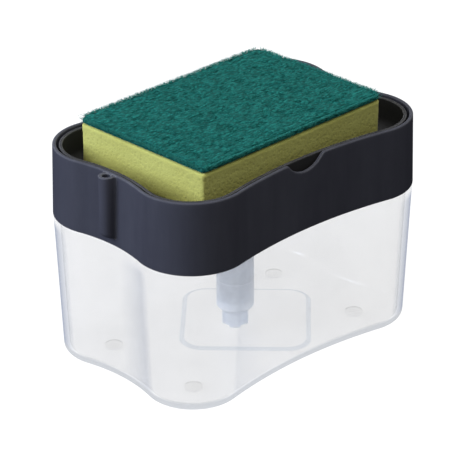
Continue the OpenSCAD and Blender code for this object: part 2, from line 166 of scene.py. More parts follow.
def place(name: str, maker: bmesh.types.BMesh) -> bpy.types.Object:
    """Welds a bmesh, turns its faces outwards and puts it in the scene.

    Args:
        name: name of the piece.
        maker: the mesh under construction, which this frees.

    Returns:
        The new object.
    """
    bmesh.ops.remove_doubles(maker, verts=maker.verts, dist=WELD)
    bmesh.ops.dissolve_degenerate(maker, edges=maker.edges, dist=WELD)
    bmesh.ops.recalc_face_normals(maker, faces=maker.faces)
    mesh = bpy.data.meshes.new(name)
    maker.to_mesh(mesh)
    maker.free()
    piece = bpy.data.objects.new(name, mesh)
    bpy.context.scene.collection.objects.link(piece)
    smooth(piece)
    return piece


def smooth(piece: bpy.types.Object, crease: float = CREASE) -> None:
    """Shades a piece smooth and keeps edges sharper than the crease angle."""
    piece.data.shade_smooth()
    piece.data.set_sharp_from_angle(angle=crease)


def loft(name: str, rings: Sequence[Ring], loop: bool = False) -> bpy.types.Object:
    """Skins rings that have as many points each.

    Args:
        name: name of the piece.
        rings: rings of points, in order along the skin.
        loop: whether the last ring joins the first, instead of both being capped.

    Returns:
        The closed solid.
    """
    maker = bmesh.new()
    rows = [[maker.verts.new(point) for point in ring] for ring in rings]
    following = rows[1:] + rows[:1] if loop else rows[1:]
    count = len(rows[0])
    for low, high in zip(rows, following):
        for i in range(count):
            j = (i + 1) % count
            maker.faces.new((low[i], low[j], high[j], high[i]))
    if not loop:
        maker.faces.new(rows[0][::-1])
        maker.faces.new(rows[-1])
    return place(name, maker)


def lathe(
    name: str, path: Sequence[Pair], centre: Pair = (0, 0), segments: int = 96
) -> bpy.types.Object:
    """Turns a line of (radius, height) pairs round an upright axis.

    Args:
        name: name of the piece.
        path: the section. It starts and ends on the axis, or else it is closed.
        centre: place of the axis.
        segments: steps round the axis.

    Returns:
        The closed solid.
    """
    turns = [2 * math.pi * i / segments for i in range(segments)]
    x, y = centre
    rings = [[(x + r * math.cos(a), y + r * math.sin(a), z) for a in turns] for r, z in path]
    return loft(name, rings, loop=path[0][0] > WELD)


def joined(name: str, pieces: Sequence[bpy.types.Object]) -> bpy.types.Object:
    """Puts the meshes of separate solids into one piece.

    Args:
        name: name of the new piece.
        pieces: the solids, which are removed.

    Returns:
        The piece that holds them all.
    """
    maker = bmesh.new()
    for piece in pieces:
        maker.from_mesh(piece.data)
        bpy.data.objects.remove(piece)
    return place(name, maker)


def combine(body: bpy.types.Object, tool: bpy.types.Object, how: Joining) -> None:
    """Adds a solid to a body, or cuts it out, and removes the tool solid.

    Args:
        body: the piece that is changed.
        tool: the solid that is added or cut out.
        how: whether it is added or cut.
    """
    modifier = body.modifiers.new("combine", "BOOLEAN")
    modifier.operation = how.value
    modifier.solver = "EXACT"
    modifier.object = tool
    evaluated = body.evaluated_get(bpy.context.evaluated_depsgraph_get())
    mesh = bpy.data.meshes.new_from_object(evaluated)
    body.modifiers.clear()
    body.data = mesh
    bpy.data.objects.remove(tool)
    smooth(body)


def block(name: str, low: Vector, high: Vector, edge: Point, step: float) -> bpy.types.Object:
    """Makes a closed block of small squares with rounded edges.

    Args:
        name: name of the piece.
        low: lowest corner.
        high: highest corner.
        edge: radius of the rounding along x, y and z.
        step: side of the squares.

    Returns:
        The block.
    """
    axes = range(3)
    size = high - low
    counts = [max(1, round(length / step)) for length in size]
    maker = bmesh.new()
    known: dict[tuple[int, ...], bmesh.types.BMVert] = {}

    def vertex(key: tuple[int, ...]) -> bmesh.types.BMVert:
        """Finds the vertex at a lattice key, and makes it when it is first asked for.

        Args:
            key: steps from the lowest corner along x, y and z.

        Returns:
            The vertex.
        """
        if key not in known:
            point = Vector([low[a] + size[a] * key[a] / counts[a] for a in axes])
            inner = Vector([min(max(point[a], low[a] + edge[a]), high[a] - edge[a]) for a in axes])
            way = Vector([(point[a] - inner[a]) / edge[a] for a in axes])
            if way.length > 0:
                way.normalize()
                point = Vector([inner[a] + way[a] * edge[a] for a in axes])
            known[key] = maker.verts.new(point)
        return known[key]

    for a in axes:
        b, c = (a + 1) % 3, (a + 2) % 3
        for end in (0, counts[a]):
            for i in range(counts[b]):
                for j in range(counts[c]):
                    square = []
                    for di, dj in ((0, 0), (1, 0), (1, 1), (0, 1)):
                        key = [0, 0, 0]
                        key[a], key[b], key[c] = end, i + di, j + dj
                        square.append(vertex(tuple(key)))
                    maker.faces.new(square)
    return place(name, maker)


def push_in(piece: bpy.types.Object, depth: Callable[[Vector, Vector], float]) -> None:
    """Moves each vertex inwards along its normal.

    Args:
        piece: the mesh piece.
        depth: gives the depth at a point with a normal.
    """
    mesh = piece.data
    moves = [vertex.normal * depth(vertex.co, vertex.normal) for vertex in mesh.vertices]
    for vertex, move in zip(mesh.vertices, moves):
        vertex.co -= move
    mesh.update()


@dataclass(frozen=True)
class WaistedOutline:
    """Plan of the caddy: four corner lobes joined by four shallow hollows."""

    half_len: float = 66.5 * MM
    half_wid: float = 45.2 * MM
    lobe_r: float = 21.8 * MM
    side_hollow: float = 4.6 * MM
    end_hollow: float = 3.1 * MM
    lobe_steps: int = 26
    side_steps: int = 104
    end_steps: int = 36

    @property
    def lobe(self) -> Pair:
        """Centre of the lobe at +x and +y."""
        return self.half_len - self.lobe_r, self.half_wid - self.lobe_r

    @staticmethod
    def rise(span: float, hollow: float) -> float:
        """Distance from the line through two lobes to the centre of the hollow's arc."""
        return (span * span - hollow * hollow) / (2 * hollow)

    def ring(self, inset: float, z: float) -> Ring:
        """Points of the outline at a height.

        Args:
            inset: how far inside the rim's outline the ring lies.
            z: its height.

        Returns:
            The points, counter-clockwise from the lobe at +x and +y.
        """
        x, y = self.lobe
        side_rise = self.rise(x, self.side_hollow)
        end_rise = self.rise(y, self.end_hollow)
        side_turn = math.atan2(x, side_rise)
        end_turn = math.atan2(y, end_rise)
        side_r = side_rise - self.lobe_r + self.side_hollow + inset
        end_r = end_rise - self.lobe_r + self.end_hollow + inset
        lobe_r = self.lobe_r - inset
        side_y = y + side_rise
        arcs = []
        for s in (1, -1):
            arcs += [
                (s * x, s * y, s * lobe_r, -end_turn, QUARTER + side_turn, self.lobe_steps),
                (0, s * side_y, s * side_r, side_turn - QUARTER, -side_turn - QUARTER, self.side_steps),
                (-s * x, s * y, s * lobe_r, QUARTER - side_turn, math.pi + end_turn, self.lobe_steps),
                (-s * (x + end_rise), 0, s * end_r, end_turn, -end_turn, self.end_steps),
            ]
        points = []
        for cx, cy, radius, start, end, steps in arcs:
            for k in range(steps):
                turn = start + (end - start) * k / steps
                points.append((cx + radius * math.cos(turn), cy + radius * math.sin(turn), z))
        return points

    def circle(self, radius: float, z: float) -> Ring:
        """Round ring whose points lie in the directions of the outline's points."""
        turns = [math.atan2(y, x) for x, y, _ in self.ring(0, z)]
        return [(radius * math.cos(a), radius * math.sin(a), z) for a in turns]

    def diamond(self, centre_x: float, half: float, corner_r: float, z: float) -> Ring:
        """Ring of a rounded square that stands on its corner.

        Args:
            centre_x: place of its middle along x.
            half: half its width across the flats.
            corner_r: radius of its corners.
            z: its height.

        Returns:
            Points in the directions of the outline's points, seen from the middle.
        """
        inner = half - corner_r
        points = []
        for x, y, _ in self.ring(0, z):
            turn = math.atan2(y, x - centre_x)
            fold = abs((turn + QUARTER / 2) % QUARTER)
            fold = min(fold, QUARTER - fold)
            reach = half / math.cos(fold)
            if half * math.tan(fold) > inner:
                along = inner * (math.cos(fold) + math.sin(fold))
                rest = along * along - 2 * inner * inner + corner_r * corner_r
                reach = along + math.sqrt(max(0.0, rest))
            points.append((centre_x + reach * math.cos(turn), reach * math.sin(turn), z))
        return points


class ShaderNet:
    """Adds and links the nodes of one shader tree."""

    def __init__(self, tree: bpy.types.NodeTree) -> None:
        """Keeps the tree."""
        self.tree = tree

    def node(
        self, kind: str, sockets: dict[str | int, Feed] | None = None, **settings: object
    ) -> bpy.types.Node:
        """Adds a node.

        Args:
            kind: type name of the node.
            sockets: a value or an output socket for each input, by its name or number.
            settings: the node's own settings.

        Returns:
            The node.
        """
        made = self.tree.nodes.new(kind)
        for key, value in settings.items():
            setattr(made, key, value)
        self.feed(made, sockets or {})
        return made

    def feed(self, made: bpy.types.Node, sockets: dict[str | int, Feed]) -> None:
        """Sets or links a node's inputs.

        Args:
            made: the node.
            sockets: a value or an output socket for each input.
        """
        for key, value in sockets.items():
            if isinstance(value, bpy.types.NodeSocket):
                self.tree.links.new(value, made.inputs[key])
            elif isinstance(value, tuple) and made.inputs[key].type == "RGBA":
                made.inputs[key].default_value = (*value, 1.0)
            else:
                made.inputs[key].default_value = value

    def group(self, shared: bpy.types.NodeTree, **sockets: Feed) -> bpy.types.Node:
        """Places a shared group and feeds its named inputs."""
        return self.node("ShaderNodeGroup", sockets, node_tree=shared)

    def math(self, operation: str, a: Feed, b: Feed = 0.0) -> bpy.types.NodeSocket:
        """Works out one sum of two values."""
        return self.node("ShaderNodeMath", {0: a, 1: b}, operation=operation).outputs[0]

    def product(self, *factors: Feed) -> bpy.types.NodeSocket:
        """Multiplies two or more values, from the first to the last."""
        return reduce(lambda a, b: self.math("MULTIPLY", a, b), factors)

    def height(self, vector: Feed) -> bpy.types.NodeSocket:
        """The Z part of a vector."""
        return self.node("ShaderNodeSeparateXYZ", {0: vector}).outputs["Z"]

    def spread(
        self, value: Feed, source: Pair, target: tuple[Feed, Feed] = RISING
    ) -> bpy.types.NodeSocket:
        """Maps a value from one range to another, clamped."""
        sockets = {0: value, 1: source[0], 2: source[1], 3: target[0], 4: target[1]}
        return self.node("ShaderNodeMapRange", sockets).outputs[0]

    def mix(self, factor: Feed, a: Feed, b: Feed) -> bpy.types.NodeSocket:
        """Mixes two colours."""
        return self.node("ShaderNodeMix", {0: factor, 6: a, 7: b}, data_type="RGBA").outputs[2]

    def blend(self, factor: Feed, first: bpy.types.Node, second: bpy.types.Node) -> bpy.types.Node:
        """Mixes two shader nodes."""
        sockets = {0: factor, 1: first.outputs[0], 2: second.outputs[0]}
        return self.node("ShaderNodeMixShader", sockets)

    def own(self) -> bpy.types.NodeSocket:
        """The piece's own coordinates."""
        return self.node("ShaderNodeTexCoord").outputs["Object"]

    def noise(
        self, scale: Feed, detail: float = 3.0, where: bpy.types.NodeSocket | None = None
    ) -> bpy.types.NodeSocket:
        """Fractal noise.

        Args:
            scale: how fine it is.
            detail: octaves of finer noise.
            where: coordinates that it follows, or None for the piece's own.

        Returns:
            Its value.
        """
        where = where or self.own()
        sockets = {"Vector": where, "Scale": scale, "Detail": detail, "Roughness": NOISE_ROUGHNESS}
        return self.node("ShaderNodeTexNoise", sockets).outputs[0]

    def bump(self, height: Feed, depth: float, strength: float = 1.0) -> bpy.types.NodeSocket:
        """Turns a height into a normal, with its depth in metres."""
        sockets = {"Height": height, "Distance": depth, "Strength": strength}
        return self.node("ShaderNodeBump", sockets).outputs["Normal"]


def shared_group(
    name: str, takes: dict[str, tuple[Socket, Feed]], gives: dict[str, Socket]
) -> tuple[bpy.types.NodeTree, ShaderNet, bpy.types.Node, bpy.types.Node]:
    """Starts a shader node group.

    Args:
        name: name of the group.
        takes: kind and starting value of each input.
        gives: kind of each output.

    Returns:
        The group, its net, and its input and output nodes.
    """
    tree = bpy.data.node_groups.new(name, "ShaderNodeTree")
    for key, (kind, value) in takes.items():
        made = tree.interface.new_socket(name=key, in_out="INPUT", socket_type=kind.value)
        made.default_value = (*value, 1.0) if kind is Socket.COLOUR else value
    for key, kind in gives.items():
        tree.interface.new_socket(name=key, in_out="OUTPUT", socket_type=kind.value)
    net = ShaderNet(tree)
    return tree, net, net.node("NodeGroupInput"), net.node("NodeGroupOutput")


@cache
def moulded_grain() -> bpy.types.NodeTree:
    """Fine grain of a moulded surface, with smudges that change its roughness.

    Returns:
        The group.
    """
    tree, net, source, sink = shared_group(
        "moulded_grain",
        {"Scale": (Socket.VALUE, 4000.0), "Low": (Socket.VALUE, 0.4), "High": (Socket.VALUE, 0.5)},
        {"Height": Socket.VALUE, "Roughness": Socket.VALUE},
    )
    smudge_scale = 0.02
    fine = net.noise(source.outputs["Scale"])
    smudge = net.noise(net.product(source.outputs["Scale"], smudge_scale), detail=4.0)
    rough = net.spread(smudge, NOISE_MIDDLE, (source.outputs["Low"], source.outputs["High"]))
    net.feed(sink, {"Height": fine, "Roughness": rough})
    return tree


@cache
def worn_and_highlit_edges() -> bpy.types.NodeTree:
    """Mask of the edges that are lightened: partly rubbed by handling, partly a painted highlight along
    rims, lips and ridges.

    Returns:
        The group.
    """
    tree, net, source, sink = shared_group(
        "worn_and_highlit_edges",
        {"Radius": (Socket.VALUE, 0.6 * MM), "Amount": (Socket.VALUE, 1.0)},
        {"Mask": Socket.VALUE},
    )
    bends = (0.006, 0.09)
    patch_scale = 420.0
    patches = (0.3, 0.6)
    patch_wear = (0.65, 1.0)
    soft = net.node("ShaderNodeBevel", {"Radius": source.outputs["Radius"]}, samples=4)
    true = net.node("ShaderNodeNewGeometry").outputs["Normal"]
    dot = net.node("ShaderNodeVectorMath", {0: soft.outputs[0], 1: true}, operation="DOT_PRODUCT")
    bend = net.spread(net.math("SUBTRACT", 1.0, dot.outputs["Value"]), bends)
    patchy = net.spread(net.noise(patch_scale, detail=4.0), patches, patch_wear)
    net.feed(sink, {"Mask": net.product(bend, patchy, source.outputs["Amount"])})
    return tree


@cache
def settled_film() -> bpy.types.NodeTree:
    """Mask of the faint film of dust and dried soap on faces that look up.

    Returns:
        The group.
    """
    tree, net, source, sink = shared_group(
        "settled_film",
        {"Scale": (Socket.VALUE, 120.0), "Amount": (Socket.VALUE, 0.1)},
        {"Mask": Socket.VALUE},
    )
    lies = (0.2, 0.95)
    lies_film = (0.15, 1.0)
    patches = (0.38, 0.7)
    up = net.height(net.node("ShaderNodeNewGeometry").outputs["Normal"])
    facing = net.spread(up, lies, lies_film)
    patchy = net.spread(net.noise(source.outputs["Scale"], detail=5.0), patches)
    net.feed(sink, {"Mask": net.product(facing, patchy, source.outputs["Amount"])})
    return tree


@cache
def colour_drift() -> bpy.types.NodeTree:
    """Slow change between two near colours over a piece.

    Returns:
        The group.
    """
    tree, net, source, sink = shared_group(
        "colour_drift",
        {
            "Base": (Socket.COLOUR, (0.5, 0.5, 0.5)),
            "Drift": (Socket.COLOUR, (0.4, 0.4, 0.4)),
            "Scale": (Socket.VALUE, 30.0),
            "Where": (Socket.VECTOR, (0.0, 0.0, 0.0)),
        },
        {"Colour": Socket.COLOUR},
    )
    cloud = net.noise(source.outputs["Scale"], detail=5.0, where=source.outputs["Where"])
    share = net.spread(cloud, NOISE_MIDDLE)
    net.feed(sink, {"Colour": net.mix(share, source.outputs["Base"], source.outputs["Drift"])})
    return tree


@cache
def open_cells() -> bpy.types.NodeTree:
    """Open cells of a foam: a height, and a mask of the pores for the painted shade inside them.

    Returns:
        The group.
    """
    tree, net, source, sink = shared_group(
        "open_cells",
        {"Scale": (Socket.VALUE, 900.0)},
        {"Height": Socket.VALUE, "PoreShade": Socket.VALUE},
    )
    slope = (0.1, 0.55)
    pore_shade_span = (0.12, 0.34)
    cells = net.node("ShaderNodeTexVoronoi", {"Vector": net.own(), "Scale": source.outputs["Scale"]})
    away = cells.outputs["Distance"]
    net.feed(sink, {"Height": net.spread(away, slope), "PoreShade": net.spread(away, pore_shade_span, FALLING)})
    return tree


def blank_material(name: str) -> tuple[bpy.types.Material, ShaderNet, bpy.types.Node]:
    """Starts a material.

    Args:
        name: name of the material.

    Returns:
        The material, its net and its shader node.
    """
    material = bpy.data.materials.new(name)
    material.use_nodes = True
    net = ShaderNet(material.node_tree)
    shader = next(node for node in material.node_tree.nodes if node.type == "BSDF_PRINCIPLED")
    return material, net, shader


def grain_of(net: ShaderNet, scale: float, roughness: Pair) -> bpy.types.Node:
    """Places the grain of a moulded surface, whose roughness lies between two values."""
    low, high = roughness
    return net.group(moulded_grain(), Scale=scale, Low=low, High=high)


def drift_of(
    net: ShaderNet, base: Colour, drift: Colour, scale: float, where: bpy.types.NodeSocket | None = None
) -> bpy.types.NodeSocket:
    """Places the slow change between two near colours.

    Args:
        net: the material's net.
        base: one colour.
        drift: the other colour.
        scale: how fine the change is.
        where: coordinates that it follows, or None for the piece's own.

    Returns:
        The colour.
    """
    where = where or net.own()
    placed = net.group(colour_drift(), Where=where, Base=base, Drift=drift, Scale=scale)
    return placed.outputs["Colour"]


def grained(
    net: ShaderNet, shader: bpy.types.Node, colour: Feed, grain: bpy.types.Node, depth: float
) -> bpy.types.NodeSocket:
    """Gives a shader its colour, and the roughness and relief of a moulded grain.

    Args:
        net: the material's net.
        shader: the shader node.
        colour: its base colour.
        grain: the placed moulded_grain group.
        depth: depth of the grain in metres.

    Returns:
        The normal that the grain bends.
    """
    normal = net.bump(grain.outputs["Height"], depth)
    net.feed(shader, {"Base Color": colour, "Roughness": grain.outputs["Roughness"], "Normal": normal})
    return normal


@dataclass(frozen=True)
class MouldedPlastic:
    """Opaque moulded plastic with fine grain, a faint film, and edges lightened partly by rubbing and
    partly by a painted highlight.
    """

    name: str
    colour: Colour
    drift: Colour
    # Edge colour: partly rubbed plastic, partly a painted highlight along rims and lips.
    worn_highlight: Colour
    roughness: Pair = (0.37, 0.5)
    specular: float = 0.3
    grain: float = 3600.0
    grain_depth: float = 0.01 * MM
    wear_highlight: float = 0.8
    wear_highlight_r: float = 0.8 * MM
    # Upright stretch of the tone drift: below 1 it turns the plastic's own uneven tone into painted
    # upright streaks of satin sheen.
    sheen_streak_stretch: float = 1.0
    drift_scale: float = 26.0
    film: float = 0.05
    film_scale: float = 140.0
    film_colour: Colour = (0.5, 0.5, 0.52)

    def material(self) -> bpy.types.Material:
        """Builds the material.

        Returns:
            The material.
        """
        material, net, shader = blank_material(self.name)
        grain = grain_of(net, self.grain, self.roughness)
        # The tone drift is stretched upright here: painted streaks of satin sheen.
        mapping = {"Vector": net.own(), "Scale": (1.0, 1.0, self.sheen_streak_stretch)}
        sheen_streak_stretch = net.node("ShaderNodeMapping", mapping).outputs[0]
        drift = drift_of(net, self.colour, self.drift, self.drift_scale, sheen_streak_stretch)
        edges = net.group(worn_and_highlit_edges(), Radius=self.wear_highlight_r, Amount=self.wear_highlight)
        film = net.group(settled_film(), Scale=self.film_scale, Amount=self.film)
        # Painted highlight: edges lighten to the edge colour, partly as rubbed plastic, partly in place
        # of a specular gloss on rims and lips.
        colour = net.mix(edges.outputs["Mask"], drift, self.worn_highlight)
        colour = net.mix(film.outputs["Mask"], colour, self.film_colour)
        grained(net, shader, colour, grain, self.grain_depth)
        net.feed(shader, {"Specular IOR Level": self.specular})
        return material


@dataclass(frozen=True)
class MilkyPlastic:
    """Frosted plastic: part clear, part haze, and bluer where light has far to go through it, with
    painted shade: darker, bluer bands where outer sides are seen at a slant, at the rounded foot and on
    the raised panel's slopes.

    Attributes:
        name: name of the material.
        tint: colour of the haze.
        cloud: second colour that the haze drifts to.
        drift_scale: how fine that drift is.
        haze: share of the surface that is haze and not clear.
        haze_scale: how fine the haze's clouds are.
        haze_swing: how far the haze swings to either side, as a share of itself.
        slope_haze: haze added on the raised panel's slopes.
        glow: share of the haze that lets light through.
        roughness: lowest and highest roughness.
        grain: how fine the grain is.
        grain_depth: depth of the grain.
        shine: gloss of a face seen square on.
        rim_shine: gloss added where a face is seen at a slant.
        rim_power: how fast that gloss comes in.
        slant: colour that light keeps where an outer side is seen at a slant: painted shade for the
            darker, bluer bands along the wall's edges.
        slant_facing: slants between which that colour comes in.
        under_tilt: downward tilts between which a side counts as an outer one.
        rounding: colour that light keeps at the rounded foot: painted shade, a dark band along its
            edge.
        rounding_z: heights between which the foot's colour fades out.
        edge: colour that light keeps on the raised panel's slopes: painted shade that draws the panel's
            outline.
        gentle: upward shares of a normal between which a face counts as a gentle slope.
        level: upward shares of a normal between which a face counts as level.
        panel_at: middle of the raised panel.
        panel_reach: distances from it between which its slopes fade out.
        thick_colour: colour that light takes on inside the wall.
        thickening: how fast it takes that colour on.
    """

    name: str
    tint: Colour
    cloud: Colour
    drift_scale: float = 18.0
    haze: float = 0.05
    haze_scale: float = 60.0
    haze_swing: float = 0.15
    slope_haze: float = 0.08
    glow: float = 0.8
    roughness: Pair = (0.187, 0.264)
    grain: float = 2400.0
    grain_depth: float = 0.01 * MM
    shine: float = 0.03
    rim_shine: float = 0.1
    rim_power: float = 5.0
    slant: Colour = (0.5, 0.54, 0.64)
    slant_facing: Pair = (0.47, 0.84)
    under_tilt: Pair = (0.0, 0.03)
    rounding: Colour = (0.68, 0.7, 0.73)
    rounding_z: Pair = mm(4.2, 5.4)
    edge: Colour = (0.89, 0.92, 0.96)
    gentle: Pair = (0.86, 0.9)
    level: Pair = (0.985, 0.9995)
    panel_at: Point = mm(6.0, 0.0, 2.0)
    panel_reach: Pair = mm(33.6, 34.1)
    thick_colour: Colour = (0.4, 0.43, 0.5)
    thickening: float = 10.0

    def material(self) -> bpy.types.Material:
        """Builds the material.

        Returns:
            The material.
        """
        material, net, shader = blank_material(self.name)
        grain = grain_of(net, self.grain, self.roughness)
        milky = drift_of(net, self.tint, self.cloud, self.drift_scale)
        normal = grained(net, shader, milky, grain, self.grain_depth)
        net.feed(shader, {"Specular IOR Level": 0.0})
        glowing = net.node("ShaderNodeBsdfTranslucent", {"Color": milky, "Normal": normal})
        milk = net.blend(self.glow, shader, glowing)
        facing = net.node("ShaderNodeLayerWeight").outputs["Facing"]
        colour, slope = self.passed(net, facing)
        clear = net.node("ShaderNodeBsdfTransparent", {"Color": colour})
        thin, dense = (1 - self.haze_swing) * self.haze, (1 + self.haze_swing) * self.haze
        cloudy = net.spread(net.noise(self.haze_scale, detail=4.0), NOISE_MIDDLE, (thin, dense))
        body = net.blend(net.math("ADD", cloudy, net.product(slope, self.slope_haze)), clear, milk)
        gloss = net.node(
            "ShaderNodeBsdfAnisotropic", {"Roughness": grain.outputs["Roughness"], "Normal": normal}
        )
        rise = net.product(net.math("POWER", facing, self.rim_power), self.rim_shine)
        surface = net.blend(net.math("ADD", rise, self.shine), body, gloss)
        absorber = net.node(
            "ShaderNodeVolumeAbsorption", {"Color": self.thick_colour, "Density": self.thickening}
        )
        output = next(node for node in net.tree.nodes if node.type == "OUTPUT_MATERIAL")
        net.feed(output, {"Surface": surface.outputs[0], "Volume": absorber.outputs[0]})
        return material

    def passed(
        self, net: ShaderNet, facing: bpy.types.NodeSocket
    ) -> tuple[bpy.types.NodeSocket, bpy.types.NodeSocket]:
        """Colour that light keeps on its way through a face.

        It keeps less where an outer side is seen at a slant, at the rounded foot, and on the gentle
        slopes of the raised panel: painted shade for the darker, bluer bands that the frosted wall
        shows there.

        Args:
            net: the material's net.
            facing: how slanting a face is seen.

        Returns:
            The colour, and the mask of the raised panel's gentle slopes.
        """
        face = net.node("ShaderNodeNewGeometry")
        rise = net.height(face.outputs["Normal"])
        lift = net.math("ABSOLUTE", rise)
        gentle = net.spread(lift, self.gentle)
        off_level = net.spread(lift, self.level, FALLING)
        away = net.node("ShaderNodeVectorMath", {0: net.own(), 1: self.panel_at}, operation="DISTANCE")
        near = net.spread(away.outputs["Value"], self.panel_reach, FALLING)
        slope = net.product(gentle, off_level, near)
        steep = net.math("SUBTRACT", 1.0, gentle)
        outer = net.math("SUBTRACT", 1.0, face.outputs["Backfacing"])
        under = net.spread(net.product(rise, -1.0), self.under_tilt)
        side = net.product(steep, outer, under)
        slant = net.product(side, net.spread(facing, self.slant_facing))
        rounded = net.product(side, net.spread(net.height(net.own()), self.rounding_z, FALLING))
        # Painted shade: darker, bluer bands where outer sides are seen at a slant and at the rounded
        # foot.
        colour = net.mix(slant, WHITE, self.slant)
        colour = net.mix(rounded, colour, self.rounding)
        # Painted shade on the panel's gentle slopes draws its outline.
        return net.mix(slope, colour, self.edge), slope


@dataclass(frozen=True)
class SoftRubber:
    """Soft moulded rubber with a powdery surface."""

    name: str
    colour: Colour
    drift: Colour
    drift_scale: float = 160.0
    roughness: Pair = (0.62, 0.78)
    specular: float = 0.3
    grain: float = 5200.0
    grain_depth: float = 0.02 * MM
    film: float = 0.12
    film_scale: float = 300.0
    film_colour: Colour = (0.6, 0.6, 0.6)

    def material(self) -> bpy.types.Material:
        """Builds the material.

        Returns:
            The material.
        """
        material, net, shader = blank_material(self.name)
        grain = grain_of(net, self.grain, self.roughness)
        drift = drift_of(net, self.colour, self.drift, self.drift_scale)
        film = net.group(settled_film(), Scale=self.film_scale, Amount=self.film)
        colour = net.mix(film.outputs["Mask"], drift, self.film_colour)
        grained(net, shader, colour, grain, self.grain_depth)
        net.feed(shader, {"Specular IOR Level": self.specular})
        return material


@dataclass(frozen=True)
class PolishedSteel:
    """Stainless steel of a ball or a drawn wire."""

    name: str
    colour: Colour
    drift: Colour
    roughness: Pair
    drift_scale: float = 600.0
    scratch: float = 9000.0
    scratch_depth: float = 0.003 * MM

    def material(self) -> bpy.types.Material:
        """Builds the material.

        Returns:
            The material.
        """
        material, net, shader = blank_material(self.name)
        grain = grain_of(net, self.scratch, self.roughness)
        drift = drift_of(net, self.colour, self.drift, self.drift_scale)
        grained(net, shader, drift, grain, self.scratch_depth)
        net.feed(shader, {"Metallic": 1.0})
        return material


@dataclass(frozen=True)
class CellFoam:
    """Open-cell foam: large and small pores with painted shade inside them, painted shade towards the
    bottom, and a soft sheen.
    """

    name: str
    colour: Colour
    drift: Colour
    # Colour of the painted shade inside the pores.
    deep: Colour
    # Painted shade: the foam turns darker and more olive towards the bottom, between these heights.
    low_shade: Colour
    low_shade_z: Pair
    low_shade_wave: float = 3 * MM
    low_shade_scale: float = 90.0
    low_shade_most: float = 0.75
    drift_scale: float = 55.0
    large_scale: float = 620.0
    large_pore_shade: float = 0.16
    small_scale: float = 1500.0
    small_pore_shade: float = 0.2
    small_height: float = 0.5
    relief: float = 0.16 * MM
    relief_strength: float = 0.7
    roughness: float = 0.92
    specular: float = 0.12
    sheen: float = 0.15
    sheen_roughness: float = 0.6

    def material(self) -> bpy.types.Material:
        """Builds the material.

        Returns:
            The material.
        """
        material, net, shader = blank_material(self.name)
        large = net.group(open_cells(), Scale=self.large_scale)
        small = net.group(open_cells(), Scale=self.small_scale)
        drift = drift_of(net, self.colour, self.drift, self.drift_scale)
        # Painted shade inside the large and small pores.
        hole = net.product(large.outputs["PoreShade"], self.large_pore_shade)
        small_pore_shade_mask = net.product(small.outputs["PoreShade"], self.small_pore_shade)
        # Painted shade towards the bottom, where the rim and the tray shade the foam, with a wavy upper
        # edge.
        wave = net.product(net.noise(self.low_shade_scale), self.low_shade_wave)
        uneven = net.math("ADD", net.height(net.own()), wave)
        low_shade_mask = net.spread(uneven, self.low_shade_z, (self.low_shade_most, 0.0))
        colour = net.mix(low_shade_mask, drift, self.low_shade)
        colour = net.mix(hole, colour, self.deep)
        colour = net.mix(small_pore_shade_mask, colour, self.deep)
        shallow = net.product(small.outputs["Height"], self.small_height)
        height = net.math("ADD", large.outputs["Height"], shallow)
        net.feed(
            shader,
            {
                "Base Color": colour,
                "Normal": net.bump(height, self.relief, self.relief_strength),
                "Roughness": self.roughness,
                "Specular IOR Level": self.specular,
                "Sheen Weight": self.sheen,
                "Sheen Roughness": self.sheen_roughness,
            },
        )
        return material


@dataclass(frozen=True)
class MattedFibre:
    """Matted abrasive fibre: crossing strands, with painted shade in the gaps between them."""

    name: str
    colour: Colour
    light: Colour
    # Colour of the painted shade between the strands.
    deep: Colour
    strand: float = 420.0
    strand_ways: tuple[Pair, ...] = ((0.3, 3.0), (1.25, 2.6), (2.3, 2.8))
    top: Pair = (0.5, 0.72)
    drift_scale: float = 240.0
    relief: float = 0.4 * MM
    relief_strength: float = 0.9
    roughness: float = 0.8
    specular: float = 0.1

    def material(self) -> bpy.types.Material:
        """Builds the material.

        Returns:
            The material.
        """
        material, net, shader = blank_material(self.name)
        where = net.own()
        layers = []
        for turn, stretch in self.strand_ways:
            mapping = {"Vector": where, "Rotation": (0.0, 0.0, turn), "Scale": (1.0, stretch, stretch)}
            turned = net.node("ShaderNodeMapping", mapping).outputs[0]
            layers.append(net.noise(self.strand, where=turned))
        height = reduce(lambda a, b: net.math("MAXIMUM", a, b), layers)
        # The deep colour in the gaps between the strands is painted shade.
        mask = net.spread(height, self.top)
        drift = drift_of(net, self.colour, self.light, self.drift_scale, where)
        net.feed(
            shader,
            {
                "Base Color": net.mix(mask, self.deep, drift),
                "Normal": net.bump(height, self.relief, self.relief_strength),
                "Roughness": self.roughness,
                "Specular IOR Level": self.specular,
            },
        )
        return material


